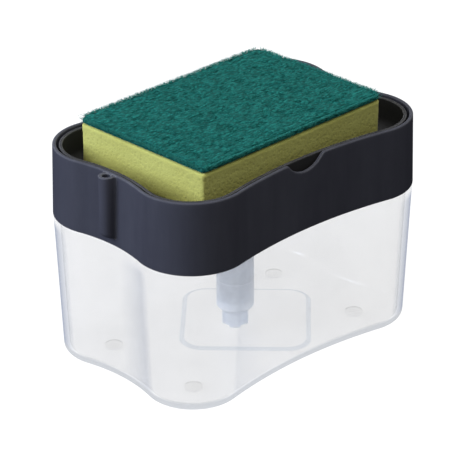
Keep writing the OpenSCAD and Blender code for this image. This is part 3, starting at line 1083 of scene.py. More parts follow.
@dataclass(frozen=True)
class Palette:
    """The caddy's finishes, each built once."""

    tank: MilkyPlastic = MilkyPlastic(
        "tank_frosted", tint=(0.95, 0.955, 0.97), cloud=(0.92, 0.925, 0.945)
    )
    foot: MilkyPlastic = MilkyPlastic(
        "foot_rubber",
        tint=(0.94, 0.95, 0.96),
        cloud=(0.92, 0.93, 0.94),
        haze=0.02,
        slope_haze=0.0,
        shine=0.0,
        rim_shine=0.0,
        # The colours at slanting sides and at the rounded foot are painted shade.
        slant=(0.94, 0.95, 0.97),
        rounding=(0.97, 0.97, 0.98),
        thickening=2.0,
    )
    # The collar's and the tray's pale edge colours paint the highlight on their rims, since their
    # specular is off; the rest is rubbed plastic.
    collar: MouldedPlastic = MouldedPlastic(
        "collar_plastic",
        colour=(0.077, 0.079, 0.1),
        drift=(0.061, 0.062, 0.08),
        worn_highlight=(0.27, 0.275, 0.29),
        specular=0.0,
        # Stretched tone drift: painted upright streaks of satin sheen.
        sheen_streak_stretch=0.12,
        drift_scale=60.0,
    )
    gasket: SoftRubber = SoftRubber(
        "gasket_rubber", colour=(0.08, 0.08, 0.082), drift=(0.06, 0.06, 0.062)
    )
    barrel: MilkyPlastic = MilkyPlastic(
        "barrel_plastic",
        tint=(0.95, 0.97, 1.0),
        cloud=(0.93, 0.95, 0.98),
        haze=0.8,
        glow=0.9,
        # The colour at slanting sides is painted shade.
        slant=(0.8, 0.84, 0.9),
        thickening=1.0,
    )
    white: MouldedPlastic = MouldedPlastic(
        "pump_white",
        colour=(0.88, 0.89, 0.89),
        drift=(0.84, 0.85, 0.85),
        worn_highlight=(0.9, 0.9, 0.9),
        specular=0.5,
        film=0.0,
    )
    ball: PolishedSteel = PolishedSteel(
        "ball_steel", colour=(0.75, 0.75, 0.77), drift=(0.68, 0.68, 0.7), roughness=(0.064, 0.104)
    )
    spring: PolishedSteel = PolishedSteel(
        "spring_steel", colour=(0.56, 0.56, 0.58), drift=(0.45, 0.45, 0.46), roughness=(0.224, 0.364)
    )
    tray: MouldedPlastic = MouldedPlastic(
        "tray_plastic",
        colour=(0.038, 0.038, 0.039),
        drift=(0.033, 0.033, 0.034),
        worn_highlight=(0.29, 0.29, 0.295),
        specular=0.0,
    )
    outlet: MouldedPlastic = MouldedPlastic(
        "outlet_plastic",
        colour=(0.026, 0.026, 0.03),
        drift=(0.02, 0.02, 0.023),
        worn_highlight=(0.09, 0.09, 0.1),
        specular=0.15,
    )
    foam: CellFoam = CellFoam(
        "foam_yellow",
        colour=(0.74, 0.74, 0.2),
        drift=(0.68, 0.67, 0.17),
        # The deep colour is painted shade inside the pores.
        deep=(0.38, 0.35, 0.07),
        # Darker, more olive colour towards the bottom: painted shade.
        low_shade=(0.5, 0.46, 0.08),
        low_shade_z=mm(82.0, 92.0),
    )
    # The pad's and the fuzz's deep colours are painted shade between the strands.
    pad: MattedFibre = MattedFibre(
        "pad_green", colour=(0.014, 0.19, 0.158), light=(0.024, 0.27, 0.23), deep=(0.004, 0.07, 0.06)
    )
    # Paler than the pad: painted glow of thin fibres lit from behind.
    fuzz: MattedFibre = MattedFibre(
        "pad_fuzz_painted_glow",
        colour=(0.05, 0.34, 0.29),
        light=(0.1, 0.45, 0.39),
        deep=(0.02, 0.21, 0.175),
        strand=900.0,
        relief=0.02 * MM,
    )

    @staticmethod
    @cache
    def built(finish: Finish) -> bpy.types.Material:
        """Returns a finish's material, built when it is first asked for."""
        return finish.material()


def dress(
    piece: bpy.types.Object, finish: Finish, body: str, slot: str, *nodes: str
) -> bpy.types.Object:
    """Gives a modelled piece its finish, its body and the nodes that it stands for.

    Args:
        piece: the modelled piece.
        finish: its finish.
        body: the body that it rides on.
        slot: the record's material slot; not used.
        nodes: the nodes that it replaces.

    Returns:
        The piece.
    """
    piece.data.materials.clear()
    piece.data.materials.append(Palette.built(finish))
    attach(piece, body)
    if nodes:
        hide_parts(*nodes)
    log.info("%s: %d vertices, rides on %s", piece.name, len(piece.data.vertices), body)
    return piece


def keep_node(name: str, finish: Finish) -> None:
    """Gives a node that stays as it is its finish.

    Args:
        name: name of the node.
        finish: its finish.
    """
    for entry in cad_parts[name].material_slots:
        entry.material = Palette.built(finish)
    log.info("%s: kept from the frame", name)


@dataclass
class FootPads:
    """Four pads under the tank, each with a rounded tread and a shallow ring groove."""

    outline: WaistedOutline
    palette: Palette
    pocket_gap: float = 0.08 * MM
    pocket_depth: float = 0.6 * MM
    groove_share: float = 0.62
    groove_depth: float = 0.35 * MM
    groove_in: float = 0.6 * MM
    groove_out: float = 0.3 * MM
    middle_rise: float = 0.15 * MM
    tread_r: float = 0.35 * MM
    soft_r: float = 0.1 * MM
    top_gap: float = 0.02 * MM
    segments: int = 64
    pocket_segments: int = 48
    body: str = "tank_body"

    @property
    def radius(self) -> float:
        """Radius of a pad, from the frame."""
        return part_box("tank_feet")[1].x - self.outline.lobe[0]

    @property
    def places(self) -> list[Pair]:
        """Centres of the four pads."""
        x, y = self.outline.lobe
        return [(sx * x, sy * y) for sx in (-1, 1) for sy in (-1, 1)]

    def build(self) -> None:
        """Builds the pads."""
        low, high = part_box("tank_feet")
        groove = self.radius * self.groove_share
        section = rounded_path(
            [
                (0, low.z + self.middle_rise, 0),
                (groove - self.groove_in, low.z + self.middle_rise, self.soft_r),
                (groove, low.z + self.groove_depth, self.soft_r),
                (groove + self.groove_out, low.z, self.soft_r),
                (self.radius, low.z, self.tread_r),
                (self.radius, high.z - self.top_gap, self.soft_r),
                (0, high.z - self.top_gap, 0),
            ],
            steps=4,
        )
        pads = joined("foot_pads", [lathe("pad", section, at, self.segments) for at in self.places])
        dress(pads, self.palette.foot, self.body, "foot_rubber", "tank_feet")

    def pockets(self) -> bpy.types.Object:
        """Blind holes for the pads in the tank's underside.

        Returns:
            The solids that are cut out.
        """
        radius = self.radius + self.pocket_gap
        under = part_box("tank")[0].z
        low, high = under - CUT_PAST, under + self.pocket_depth
        section = [(0, low), (radius, low), (radius, high), (0, high)]
        made = [lathe("pocket", section, at, self.pocket_segments) for at in self.places]
        return joined("pockets", made)


@dataclass
class Tank:
    """Frosted tank with its neck and raised floor panel."""

    outline: WaistedOutline
    palette: Palette
    feet: FootPads
    top_in: float = -0.5 * MM
    draft: float = 2.6 * MM
    wall: float = 2.2 * MM
    neck_wall: float = 1.1 * MM
    foot_r: float = 3.2 * MM
    floor_t: float = 1.8 * MM
    shoulder_z: float = 60.3 * MM
    edge_r: float = 0.3 * MM
    middle_rs: Pair = (1.0 * MM, 12.0 * MM)
    foot_span: float = 6.0 * MM
    row: float = 6.0 * MM
    panel_half: float = 26.5 * MM
    panel_r: float = 10.0 * MM
    panel_x: float = 6.0 * MM
    panel_rise: float = 0.7 * MM
    panel_slope: float = 2.2 * MM
    panel_steps: int = 8
    panel_heart: Pair = (2.0 * MM, 1.0 * MM)
    body: str = "tank_body"

    def build(self) -> None:
        """Builds the tub with its pockets."""
        shell = loft("tank_shell", self.rings())
        combine(shell, self.feet.pockets(), Joining.CUT)
        dress(shell, self.palette.tank, self.body, "tank_frosted", "tank")

    def rings(self) -> list[Ring]:
        """Rings of the tub, from the middle of its underside over the neck to the panel.

        Returns:
            The rings.
        """
        low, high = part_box("tank")
        floor = low.z + self.floor_t
        foot_in = self.top_in + self.draft
        mouth_in = self.top_in + self.wall
        neck_in = mouth_in - self.neck_wall
        inner_in = foot_in + self.wall
        inner_r = self.foot_r - self.wall / 2
        wall = rounded_path(
            [
                (foot_in + self.foot_span, low.z, 0),
                (foot_in, low.z, self.foot_r),
                (self.top_in, self.shoulder_z, self.edge_r),
                (neck_in, self.shoulder_z, self.edge_r / 2),
                (neck_in, high.z, self.edge_r),
                (mouth_in, high.z, self.edge_r),
                (inner_in, floor, inner_r),
                (inner_in + inner_r + self.edge_r, floor, 0),
            ],
            steps=8,
        )
        rings = [self.outline.circle(radius, low.z) for radius in self.middle_rs]
        rings += [self.outline.ring(inset, z) for inset, z in with_rows(wall, self.row)]
        return rings + self.panel(floor)

    def panel(self, floor: float) -> list[Ring]:
        """Rings of the raised panel, from the foot of its slope to its middle.

        Args:
            floor: height of the floor round it.

        Returns:
            The rings.
        """
        rings = []
        for k in range(self.panel_steps + 1):
            share = k / self.panel_steps
            z = floor + self.panel_rise * (1 - math.cos(math.pi * share)) / 2
            inset = self.panel_slope * share
            half, corner_r = self.panel_half - inset, self.panel_r - inset
            rings.append(self.outline.diamond(self.panel_x, half, corner_r, z))
        top = floor + self.panel_rise
        for half, corner_r in ((self.panel_half / 2, self.panel_r / 2), self.panel_heart):
            rings.append(self.outline.diamond(self.panel_x, half, corner_r, top))
        return rings


@dataclass
class Collar:
    """Charcoal collar: skirt, rim with its finger notch, deck, pump well and accessory socket."""

    outline: WaistedOutline
    palette: Palette
    low_in: float = -0.65 * MM
    skirt_in: float = 0.35 * MM
    skirt_low_r: float = 0.35 * MM
    skirt_lip_r: float = 0.15 * MM
    wall: float = 1.5 * MM
    rim_r: float = 0.6 * MM
    deck_low_z: float = 65.3 * MM
    deck_t: float = 1.8 * MM
    deck_fillet: float = 0.8 * MM
    deck_seat_r: float = 0.4 * MM
    deck_span: float = 3.0 * MM
    low_z: float = 60.5 * MM
    well_z: float = 46.1 * MM
    well_r: float = 17.0 * MM
    well_wall: float = 1.8 * MM
    well_edge_r: float = 0.6 * MM
    well_fillet: float = 0.8 * MM
    well_foot_r: float = 1.2 * MM
    well_root_r: float = 0.5 * MM
    well_row: float = 8.0 * MM
    skirt_row: float = 1.6 * MM
    neck_r: float = 11.0 * MM
    neck_root_r: float = 0.5 * MM
    neck_edge_r: float = 0.3 * MM
    neck_top_z: float = 54.6 * MM
    hole_r: float = 7.58 * MM
    notch_x: float = -1.4 * MM
    notch_half: float = 10.5 * MM
    notch_depth: float = 5.2 * MM
    notch_lip_r: float = 2.2 * MM
    notch_full: float = 1.0 * MM
    notch_fade: float = 13.0 * MM
    socket_r: float = 1.7 * MM
    socket_wall: float = 1.4 * MM
    socket_len: float = 26.0 * MM
    socket_depth: float = 20.0 * MM
    socket_drop: float = 0.3 * MM
    socket_lead: float = 0.3 * MM
    socket_y: float = 1.4 * MM
    socket_segments: int = 64
    rib_fillet: float = 1.2 * MM
    rib_foot: float = 3.0 * MM
    rib_top_r: float = 0.35 * MM
    rib_root: float = 0.9 * MM
    rib_sink: float = 0.25 * MM
    rib_foot_steps: int = 10
    rib_top_steps: int = 4
    rib_fillet_steps: int = 6
    rib_round_steps: int = 16
    body: str = "collar_body"

    def build(self) -> None:
        """Builds the collar with its rib and socket."""
        shell = loft("collar_shell", self.rings(), loop=True)
        combine(shell, self.rib(), Joining.ADD)
        combine(shell, self.hole(), Joining.CUT)
        dress(shell, self.palette.collar, self.body, "collar_plastic", "collar")

    @property
    def rim_z(self) -> float:
        """Height of the rim, from the frame."""
        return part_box("collar")[1].z

    @property
    def socket_x(self) -> float:
        """Place of the socket's axis along the caddy, from the rib's far side."""
        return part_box("collar")[0].x + self.socket_r + self.socket_wall

    def notch(self, x: float) -> float:
        """Depth of the finger notch at a place along the front: an arc with rounded lips.

        Args:
            x: the place.

        Returns:
            The depth.
        """
        off = abs(x - self.notch_x)
        if off >= self.notch_half:
            return 0.0
        lip = self.notch_lip_r
        deep = self.notch_depth
        arc_r = (self.notch_half**2 / deep + deep) / 2 - lip
        meet = self.notch_half * arc_r / (arc_r + lip)
        if off <= meet:
            return deep - arc_r + math.sqrt(arc_r * arc_r - off * off)
        return lip - math.sqrt(max(0.0, lip * lip - (self.notch_half - off) ** 2))

    def lowered(self, ring: Ring) -> Ring:
        """Lowers the front of a ring near the rim, so that the rim follows the notch.

        Args:
            ring: a level ring.

        Returns:
            The lowered ring.
        """
        fade = self.notch_fade
        share = min(1.0, max(0.0, (ring[0][2] - self.rim_z + fade) / (fade - self.notch_full)))
        return [(x, y, z - self.notch(x) * share) if y < 0 else (x, y, z) for x, y, z in ring]

    def rings(self) -> list[Ring]:
        """Rings round the collar's whole section, from the deck down the well and up the skirt.

        Returns:
            The rings.
        """
        deck_z = self.deck_low_z + self.deck_t
        under_z = self.well_z - self.well_wall
        outer_r = self.well_r + self.well_wall
        well = rounded_path(
            [
                (outer_r + self.deck_span, deck_z, 0),
                (self.well_r, deck_z, self.well_edge_r),
                (self.well_r, self.well_z, self.well_fillet),
                (self.neck_r, self.well_z, self.neck_root_r),
                (self.neck_r, self.neck_top_z, self.neck_edge_r),
                (self.hole_r, self.neck_top_z, self.neck_edge_r),
                (self.hole_r, under_z, self.neck_edge_r),
                (outer_r, under_z, self.well_foot_r),
                (outer_r, self.deck_low_z, self.well_root_r),
                (outer_r + self.deck_span, self.deck_low_z, 0),
            ]
        )
        skirt = rounded_path(
            [
                (self.skirt_in + self.deck_span, self.deck_low_z, 0),
                (self.skirt_in, self.deck_low_z, self.deck_seat_r),
                (self.skirt_in, self.low_z, self.skirt_lip_r),
                (self.low_in, self.low_z, self.skirt_low_r),
                (0, self.rim_z, self.rim_r),
                (self.wall, self.rim_z, self.rim_r),
                (self.wall, deck_z, self.deck_fillet),
                (self.wall + self.deck_span, deck_z, 0),
            ]
        )
        rings = [self.outline.circle(r, z) for r, z in with_rows(well, self.well_row)]
        for inset, z in with_rows(skirt, self.skirt_row):
            rings.append(self.lowered(self.outline.ring(inset, z)))
        return rings

    def rib(self) -> bpy.types.Object:
        """Half-round rib that holds the socket, blended into the end wall, with a tapered foot.

        Returns:
            The solid that is added.
        """
        top = self.rim_z - self.socket_drop
        low = top - self.socket_len
        rings = []
        for k in range(self.rib_foot_steps + 1):
            turn = QUARTER * k / self.rib_foot_steps
            rise = self.rib_foot * (1 - math.cos(turn))
            rings.append(self.rib_ring(low + rise, math.sin(turn), 0.0))
        for k in range(self.rib_top_steps + 1):
            turn = QUARTER * k / self.rib_top_steps
            trim = self.rib_top_r * (1 - math.cos(turn))
            rings.append(self.rib_ring(top - self.rib_top_r * (1 - math.sin(turn)), 1.0, trim))
        return loft("rib", rings)

    def rib_ring(self, z: float, swell: float, trim: float) -> Ring:
        """Section of the rib: the socket's round wall with a fillet on both sides.

        Args:
            z: its height.
            swell: how far it has risen from the end wall, 0 to 1.
            trim: how much it is trimmed all round.

        Returns:
            The points, from the root at +y to the root at -y.
        """
        inset = self.low_in * (self.rim_z - z) / (self.rim_z - self.low_z)
        wall = self.outline.half_len - self.outline.end_hollow - inset
        centre = -self.socket_x - wall
        radius = self.socket_r + self.socket_wall
        fillet = self.rib_fillet
        reach = math.sqrt((radius + fillet) ** 2 - (fillet - centre) ** 2)
        lean = math.atan2(fillet - centre, reach)
        half = [(reach + self.rib_root, -self.rib_root)]
        for k in range(self.rib_fillet_steps + 1):
            turn = -QUARTER - (QUARTER - lean) * k / self.rib_fillet_steps
            bend = fillet + trim
            half.append((reach + bend * math.cos(turn), fillet + bend * math.sin(turn)))
        for k in range(1, self.rib_round_steps + 1):
            turn = lean + (QUARTER - lean) * k / self.rib_round_steps
            bend = radius - trim
            half.append((bend * math.cos(turn), centre + bend * math.sin(turn)))
        points = half + [(-side, out) for side, out in half[-2::-1]]
        sunk = self.rib_sink * (1 - swell)
        ring = []
        for side, out in points:
            stand = out * swell if out > 0 else out
            ring.append((-wall - stand + sunk, self.socket_y + side, z))
        return ring

    def hole(self) -> bpy.types.Object:
        """The socket's hole, with a small lead-in at its mouth.

        Returns:
            The solid that is cut out.
        """
        top = self.rim_z - self.socket_drop
        mouth_r = self.socket_r + self.socket_lead
        section = [
            (0, top - self.socket_depth),
            (self.socket_r, top - self.socket_depth),
            (self.socket_r, top - self.socket_lead),
            (mouth_r, top),
            (mouth_r, top + CUT_PAST),
            (0, top + CUT_PAST),
        ]
        return lathe("hole", section, (self.socket_x, self.socket_y), self.socket_segments)


@dataclass
class Tray:
    """Press tray with its thin rim, low ribs and hub."""

    outline: WaistedOutline
    palette: Palette
    outer_in: float = 2.5 * MM
    wall: float = 1.4 * MM
    under_z: float = 75.6 * MM
    floor_t: float = 1.8 * MM
    foot_r: float = 5.0 * MM
    rim_r: float = 0.45 * MM
    floor_span: float = 3.0 * MM
    hub_r: float = 5.5 * MM
    hub_root_r: float = 1.0 * MM
    hub_edge_r: float = 0.5 * MM
    stem_r: float = 3.51 * MM
    stem_lead_r: float = 0.3 * MM
    way_r: float = 1.4 * MM
    soft_r: float = 0.1 * MM
    recess_r: float = 10.0 * MM
    recess_depth: float = 0.9 * MM
    recess_root_r: float = 0.15 * MM
    recess_edge_r: float = 0.25 * MM
    row: float = 5.0 * MM
    rib_wid: float = 1.6 * MM
    rib_rise: float = 1.0 * MM
    rib_len: float = 52.8 * MM
    rib_edge: Point = mm(0.4, 0.6, 0.4)
    rib_step: float = 0.4 * MM
    rib_shares: tuple[float, ...] = (-0.78, -0.52, -0.3, 0.3, 0.52, 0.78)
    body: str = "tray_body"

    @property
    def floor_z(self) -> float:
        """Height of the floor's upper face."""
        return self.under_z + self.floor_t

    def build(self) -> None:
        """Builds the tray with its ribs."""
        dish = loft("press_tray", self.rings(), loop=True)
        combine(dish, self.ribs(), Joining.ADD)
        dress(dish, self.palette.tray, self.body, "tray_plastic", "tray")

    def rings(self) -> list[Ring]:
        """Rings round the tray's whole section, from its underside over the hub and the rim.

        Returns:
            The rings.
        """
        low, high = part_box("tray")
        top = self.floor_z
        inner_in = self.outer_in + self.wall
        foot_end = self.foot_r + self.floor_span
        recess_z = top - self.recess_depth
        middle = rounded_path(
            [
                (self.recess_r + self.floor_span, self.under_z, 0),
                (self.hub_r, self.under_z, self.hub_root_r),
                (self.hub_r, low.z, self.hub_edge_r),
                (self.stem_r, low.z, self.stem_lead_r),
                (self.stem_r, self.under_z, self.soft_r),
                (self.way_r, self.under_z, self.soft_r),
                (self.way_r, recess_z, self.soft_r),
                (self.recess_r, recess_z, self.recess_root_r),
                (self.recess_r, top, self.recess_edge_r),
                (self.recess_r + self.floor_span, top, 0),
            ]
        )
        side = rounded_path(
            [
                (inner_in + foot_end, top, 0),
                (inner_in, top, self.foot_r - self.wall),
                (inner_in, high.z, self.rim_r),
                (self.outer_in, high.z, self.rim_r),
                (self.outer_in, self.under_z, self.foot_r),
                (self.outer_in + foot_end, self.under_z, 0),
            ],
            steps=8,
        )
        rings = [self.outline.circle(r, z) for r, z in middle]
        rings += [self.outline.ring(inset, z) for inset, z in with_rows(side, self.row)]
        return rings

    def ribs(self) -> bpy.types.Object:
        """Low cross ribs that keep the sponge off the floor.

        Returns:
            The solids that are added.
        """
        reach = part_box("tray")[1].x - self.wall - self.outline.end_hollow
        half = Vector((self.rib_wid / 2, self.rib_len / 2, 0))
        low_z = self.floor_z - self.floor_t / 2
        high_z = self.floor_z + self.rib_rise
        made = []
        for share in self.rib_shares:
            low = Vector((share * reach, 0, low_z)) - half
            high = Vector((share * reach, 0, high_z)) + half
            made.append(block("rib", low, high, self.rib_edge, self.rib_step))
        return joined("ribs", made)


@dataclass
class SoapOutlet:
    """Domed insert in the middle of the tray, with a middle hole and a ring of six."""

    palette: Palette
    floor_z: float
    wall: float = 2.8 * MM
    under_rise: float = 0.55 * MM
    under_dome: float = 0.25 * MM
    edge_wid: float = 1.0 * MM
    edge_rise: float = 0.45 * MM
    edge_r: float = 0.3 * MM
    shoulder_r: float = 0.6 * MM
    foot_r: float = 0.15 * MM
    root_r: float = 0.2 * MM
    soft_r: float = 0.1 * MM
    dome_share: float = 0.35
    dome_drop: float = 0.08 * MM
    dome_r: float = 4.0 * MM
    hole_r: float = 0.8 * MM
    hole_count: int = 6
    hole_segments: int = 40
    segments: int = 128
    body: str = "tray_body"

    def build(self) -> None:
        """Builds the insert with its holes."""
        low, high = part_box("outlet_cap")
        edge = high.x
        inner = edge - self.wall
        under_z = low.z + self.under_rise
        section = rounded_path(
            [
                (0, under_z + self.under_dome, 0),
                (inner, under_z, self.root_r),
                (inner, low.z, self.soft_r),
                (edge, low.z, self.foot_r),
                (edge, self.floor_z, self.edge_r),
                (edge - self.edge_wid, self.floor_z + self.edge_rise, self.shoulder_r),
                (edge * self.dome_share, high.z - self.dome_drop, self.dome_r),
                (0, high.z, 0),
            ]
        )
        cap = lathe("soap_outlet", section, segments=self.segments)
        combine(cap, self.holes(edge / 2, low.z - CUT_PAST, high.z + CUT_PAST), Joining.CUT)
        dress(cap, self.palette.outlet, self.body, "outlet_plastic", "outlet_cap")

    def holes(self, ring_r: float, low: float, high: float) -> bpy.types.Object:
        """The soap holes.

        Args:
            ring_r: radius of the ring that six of them lie on.
            low: height of their lower ends.
            high: height of their upper ends.

        Returns:
            The solids that are cut out.
        """
        spots = [(0.0, 0.0)]
        for i in range(self.hole_count):
            turn = 2 * math.pi / self.hole_count * i
            spots.append((ring_r * math.cos(turn), ring_r * math.sin(turn)))
        column = [(0, low), (self.hole_r, low), (self.hole_r, high), (0, high)]
        made = [lathe("hole", column, at, self.hole_segments) for at in spots]
        return joined("soap_holes", made)


@dataclass
class Pump:
    """Spring pump that hangs from the deck: barrel, foot, valves, spring and plunger."""

    palette: Palette
    flange_z: float = 55.6 * MM
    barrel_r: float = 7.5 * MM
    bore_r: float = 6.2 * MM
    ledge_z: float = 13.37 * MM
    cone_top_z: float = 12.07 * MM
    cone_low_z: float = 9.77 * MM
    cone_bend_r: float = 0.8 * MM
    tail_r: float = 5.2 * MM
    tail_z: float = 6.2 * MM
    spigot_r: float = 3.9 * MM
    seat_r: float = 1.6 * MM
    seat_z: float = 7.5 * MM
    chamber_r: float = 3.37 * MM
    flange_root_r: float = 0.3 * MM
    soft_r: float = 0.2 * MM
    lip_r: float = 0.15 * MM
    inner_r: float = 0.1 * MM
    mark_zs: Pair = mm(36.0, 24.0)
    mark_depth: float = 0.12 * MM
    wire_r: float = 0.45 * MM
    turns: int = 9
    spring_steps: int = 40
    wire_sides: int = 14
    segments: int = 128
    seam: float = 1.0 * MM
    stroke: float = 8.0 * MM
    body: str = "collar_body"

    def build(self) -> None:
        """Builds the barrel and the spring, and dresses the nodes that stay."""
        dress(self.barrel(), self.palette.barrel, self.body, "barrel_plastic", "pump_barrel")
        spring = dress(self.spring(), self.palette.spring, self.body, "spring_steel", "return_spring")
        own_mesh(spring)
        for name, finish in self.kept().items():
            keep_node(name, finish)

    def kept(self) -> dict[str, Finish]:
        """Finishes of the small pieces that keep the frame's solids.

        Returns:
            The finish of each node.
        """
        return {
            "pump_gasket": self.palette.gasket,
            "pump_nut": self.palette.collar,
            "stem_guide": self.palette.white,
            "pump_foot": self.palette.barrel,
            "ball_retainer": self.palette.white,
            "inlet_ball": self.palette.ball,
            "stem": self.palette.white,
            "piston": self.palette.white,
            "valve_plug": self.palette.white,
            "outlet_ball": self.palette.ball,
        }

    def mark(self, z: float) -> list[Point]:
        """Corners of one faint moulding ring in the barrel's outside, from its top down.

        Args:
            z: height of its middle.

        Returns:
            (radius, height, rounding) of each corner.
        """
        deep = self.mark_depth
        steps = ((0, 4), (1, 2), (1, -2), (0, -4))
        return [(self.barrel_r - inwards * deep, z + up * deep, self.soft_r) for inwards, up in steps]

    def barrel(self) -> bpy.types.Object:
        """Barrel with softened shoulders and two faint moulding rings.

        Returns:
            The barrel.
        """
        low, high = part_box("pump_barrel")
        middle = (low.z + high.z) / 2
        top = [
            (self.bore_r, middle, 0),
            (self.bore_r, high.z, self.soft_r),
            (high.x, high.z, self.soft_r),
            (high.x, self.flange_z, self.soft_r),
            (self.barrel_r, self.flange_z, self.flange_root_r),
        ]
        marks = [corner for z in self.mark_zs for corner in self.mark(z)]
        foot = [
            (self.barrel_r, self.cone_top_z, self.cone_bend_r),
            (self.tail_r, self.cone_low_z, self.cone_bend_r),
            (self.tail_r, self.tail_z, self.lip_r),
            (self.spigot_r, self.tail_z, self.inner_r),
            (self.spigot_r, low.z, self.lip_r),
            (self.seat_r, low.z, self.lip_r),
            (self.seat_r, self.seat_z, self.inner_r),
            (self.chamber_r, self.seat_z, self.soft_r),
            (self.chamber_r, self.ledge_z, self.lip_r),
            (self.bore_r, self.ledge_z, self.inner_r),
            (self.bore_r, middle - self.seam, 0),
        ]
        return lathe("barrel_tube", rounded_path(top + marks + foot), segments=self.segments)

    def spring(self) -> bpy.types.Object:
        """Return spring: one unbroken coil of round wire.

        Returns:
            The spring.
        """
        low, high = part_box("return_spring")
        coil_r = high.x - self.wire_r
        count = self.turns * self.spring_steps
        climb = high.z - low.z - 2 * self.wire_r
        line = []
        for k in range(count + 1):
            turn = 2 * math.pi * k / self.spring_steps
            height = low.z + self.wire_r + climb * k / count
            line.append(Vector((coil_r * math.cos(turn), coil_r * math.sin(turn), height)))
        rings = []
        for k, point in enumerate(line):
            ahead = line[min(k + 1, count)] - line[max(k - 1, 0)]
            out = Vector((point.x, point.y, 0)).normalized()
            up = ahead.normalized().cross(out)
            ring = []
            for j in range(self.wire_sides):
                turn = 2 * math.pi * j / self.wire_sides
                spoke = out * math.cos(turn) + up * math.sin(turn)
                ring.append(tuple(point + spoke * self.wire_r))
            rings.append(ring)
        return loft("spring_coil", rings)


@dataclass(frozen=True)
class SpongeLay:
    """Size of the loose sponge, and how it lies in the tray."""

    length: float = 98.0 * MM
    width: float = 67.6 * MM
    shift_y: float = 1.58 * MM
    turn: float = math.radians(1.6)

    def span(self, node: str) -> tuple[Vector, Vector]:
        """Corners of a layer before the sponge is turned, at the height of its node.

        Args:
            node: the layer's node.

        Returns:
            The lowest and the highest corner.
        """
        low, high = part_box(node)
        half = Vector((self.length / 2, self.width / 2, 0))
        return Vector((0, 0, low.z)) - half, Vector((0, 0, high.z)) + half

    def laid(self, piece: bpy.types.Object) -> bpy.types.Object:
        """Turns a layer and moves it to where the sponge lies.

        Args:
            piece: a layer, or the fibres on it.

        Returns:
            The same piece.
        """
        where = Matrix.Translation((0, self.shift_y, 0)) @ Matrix.Rotation(self.turn, 4, "Z")
        piece.data.transform(where)
        return piece


@dataclass
class Sponge:
    """Scouring sponge: open-cell foam block with a matted fibre pad bonded on top."""

    palette: Palette
    lay: SpongeLay
    foam_step: float = 0.75 * MM
    foam_edge: Point = (0.0018, 0.0018, 0.0003)
    waist: float = 0.35 * MM
    pore_depth: float = 0.22 * MM
    pore_pitch: float = 1.9 * MM
    pore_reach: float = 0.42
    small_pitch: float = 0.55
    small_reach: float = 0.4
    small_depth: float = 0.5
    pad_step: float = 0.6 * MM
    pad_edge: Point = (0.0022, 0.0022, 0.0013)
    pad_relief: float = 0.55 * MM
    relief_mean: float = 0.4
    rough_scale: float = 420.0
    rough_share: float = 0.45
    rough_falloff: float = 0.8
    rough_step: float = 2.0
    rough_octaves: int = 3
    fine_scale: float = 1300.0
    fine_share: float = 0.25
    underside: float = -0.5
    body: str = "sponge"

    def build(self) -> None:
        """Builds the foam and the pad."""
        foam = dress(self.foam(), self.palette.foam, self.body, "foam_yellow", "sponge_foam")
        pad = dress(self.pad(), self.palette.pad, self.body, "pad_green", "scouring_pad")

    @staticmethod
    def pit(point: Vector, pitch: float, reach: float) -> float:
        """Share of a pore's depth at a point: `reach` is a pore's radius as a share of the pitch."""
        near = noise.voronoi(point / pitch)[0][0]
        return max(0.0, 1 - near / reach)

    def foam(self) -> bpy.types.Object:
        """Foam block with pores, and sides that draw in a little at half height.

        Returns:
            The block.
        """
        low, high = self.lay.span("sponge_foam")
        piece = block("foam_block", low, high, self.foam_edge, self.foam_step)
        middle = (low.z + high.z) / 2
        half = (high.z - low.z) / 2

        def depth(point: Vector, normal: Vector) -> float:
            """Depth of the pores and the waist.

            Args:
                point: a point of the surface.
                normal: its normal.

            Returns:
                The depth there.
            """
            large = self.pit(point, self.pore_pitch, self.pore_reach)
            small = self.pit(point, self.pore_pitch * self.small_pitch, self.small_reach)
            side = max(abs(normal.x), abs(normal.y))
            hollow = self.waist * side * (1 - ((point.z - middle) / half) ** 2)
            return hollow + self.pore_depth * (large + self.small_depth * small)

        push_in(piece, depth)
        smooth(piece, SOFT_CREASE)
        return self.lay.laid(piece)

    def pad(self) -> bpy.types.Object:
        """Fibre pad with an uneven top and ragged edges.

        Returns:
            The pad.
        """
        low, high = self.lay.span("scouring_pad")
        piece = block("scour_pad", low, high, self.pad_edge, self.pad_step)

        def depth(point: Vector, normal: Vector) -> float:
            """Depth of the matted relief. The bonded underside has none.

            Args:
                point: a point of the surface.
                normal: its normal.

            Returns:
                The depth there.
            """
            if normal.z < self.underside:
                return 0.0
            rough = noise.fractal(
                point * self.rough_scale, self.rough_falloff, self.rough_step, self.rough_octaves
            )
            fine = noise.noise(point * self.fine_scale)
            level = self.relief_mean + self.rough_share * rough + self.fine_share * fine
            return self.pad_relief * min(1.0, max(0.0, level))

        push_in(piece, depth)
        smooth(piece, SOFT_CREASE)
        return self.lay.laid(piece)


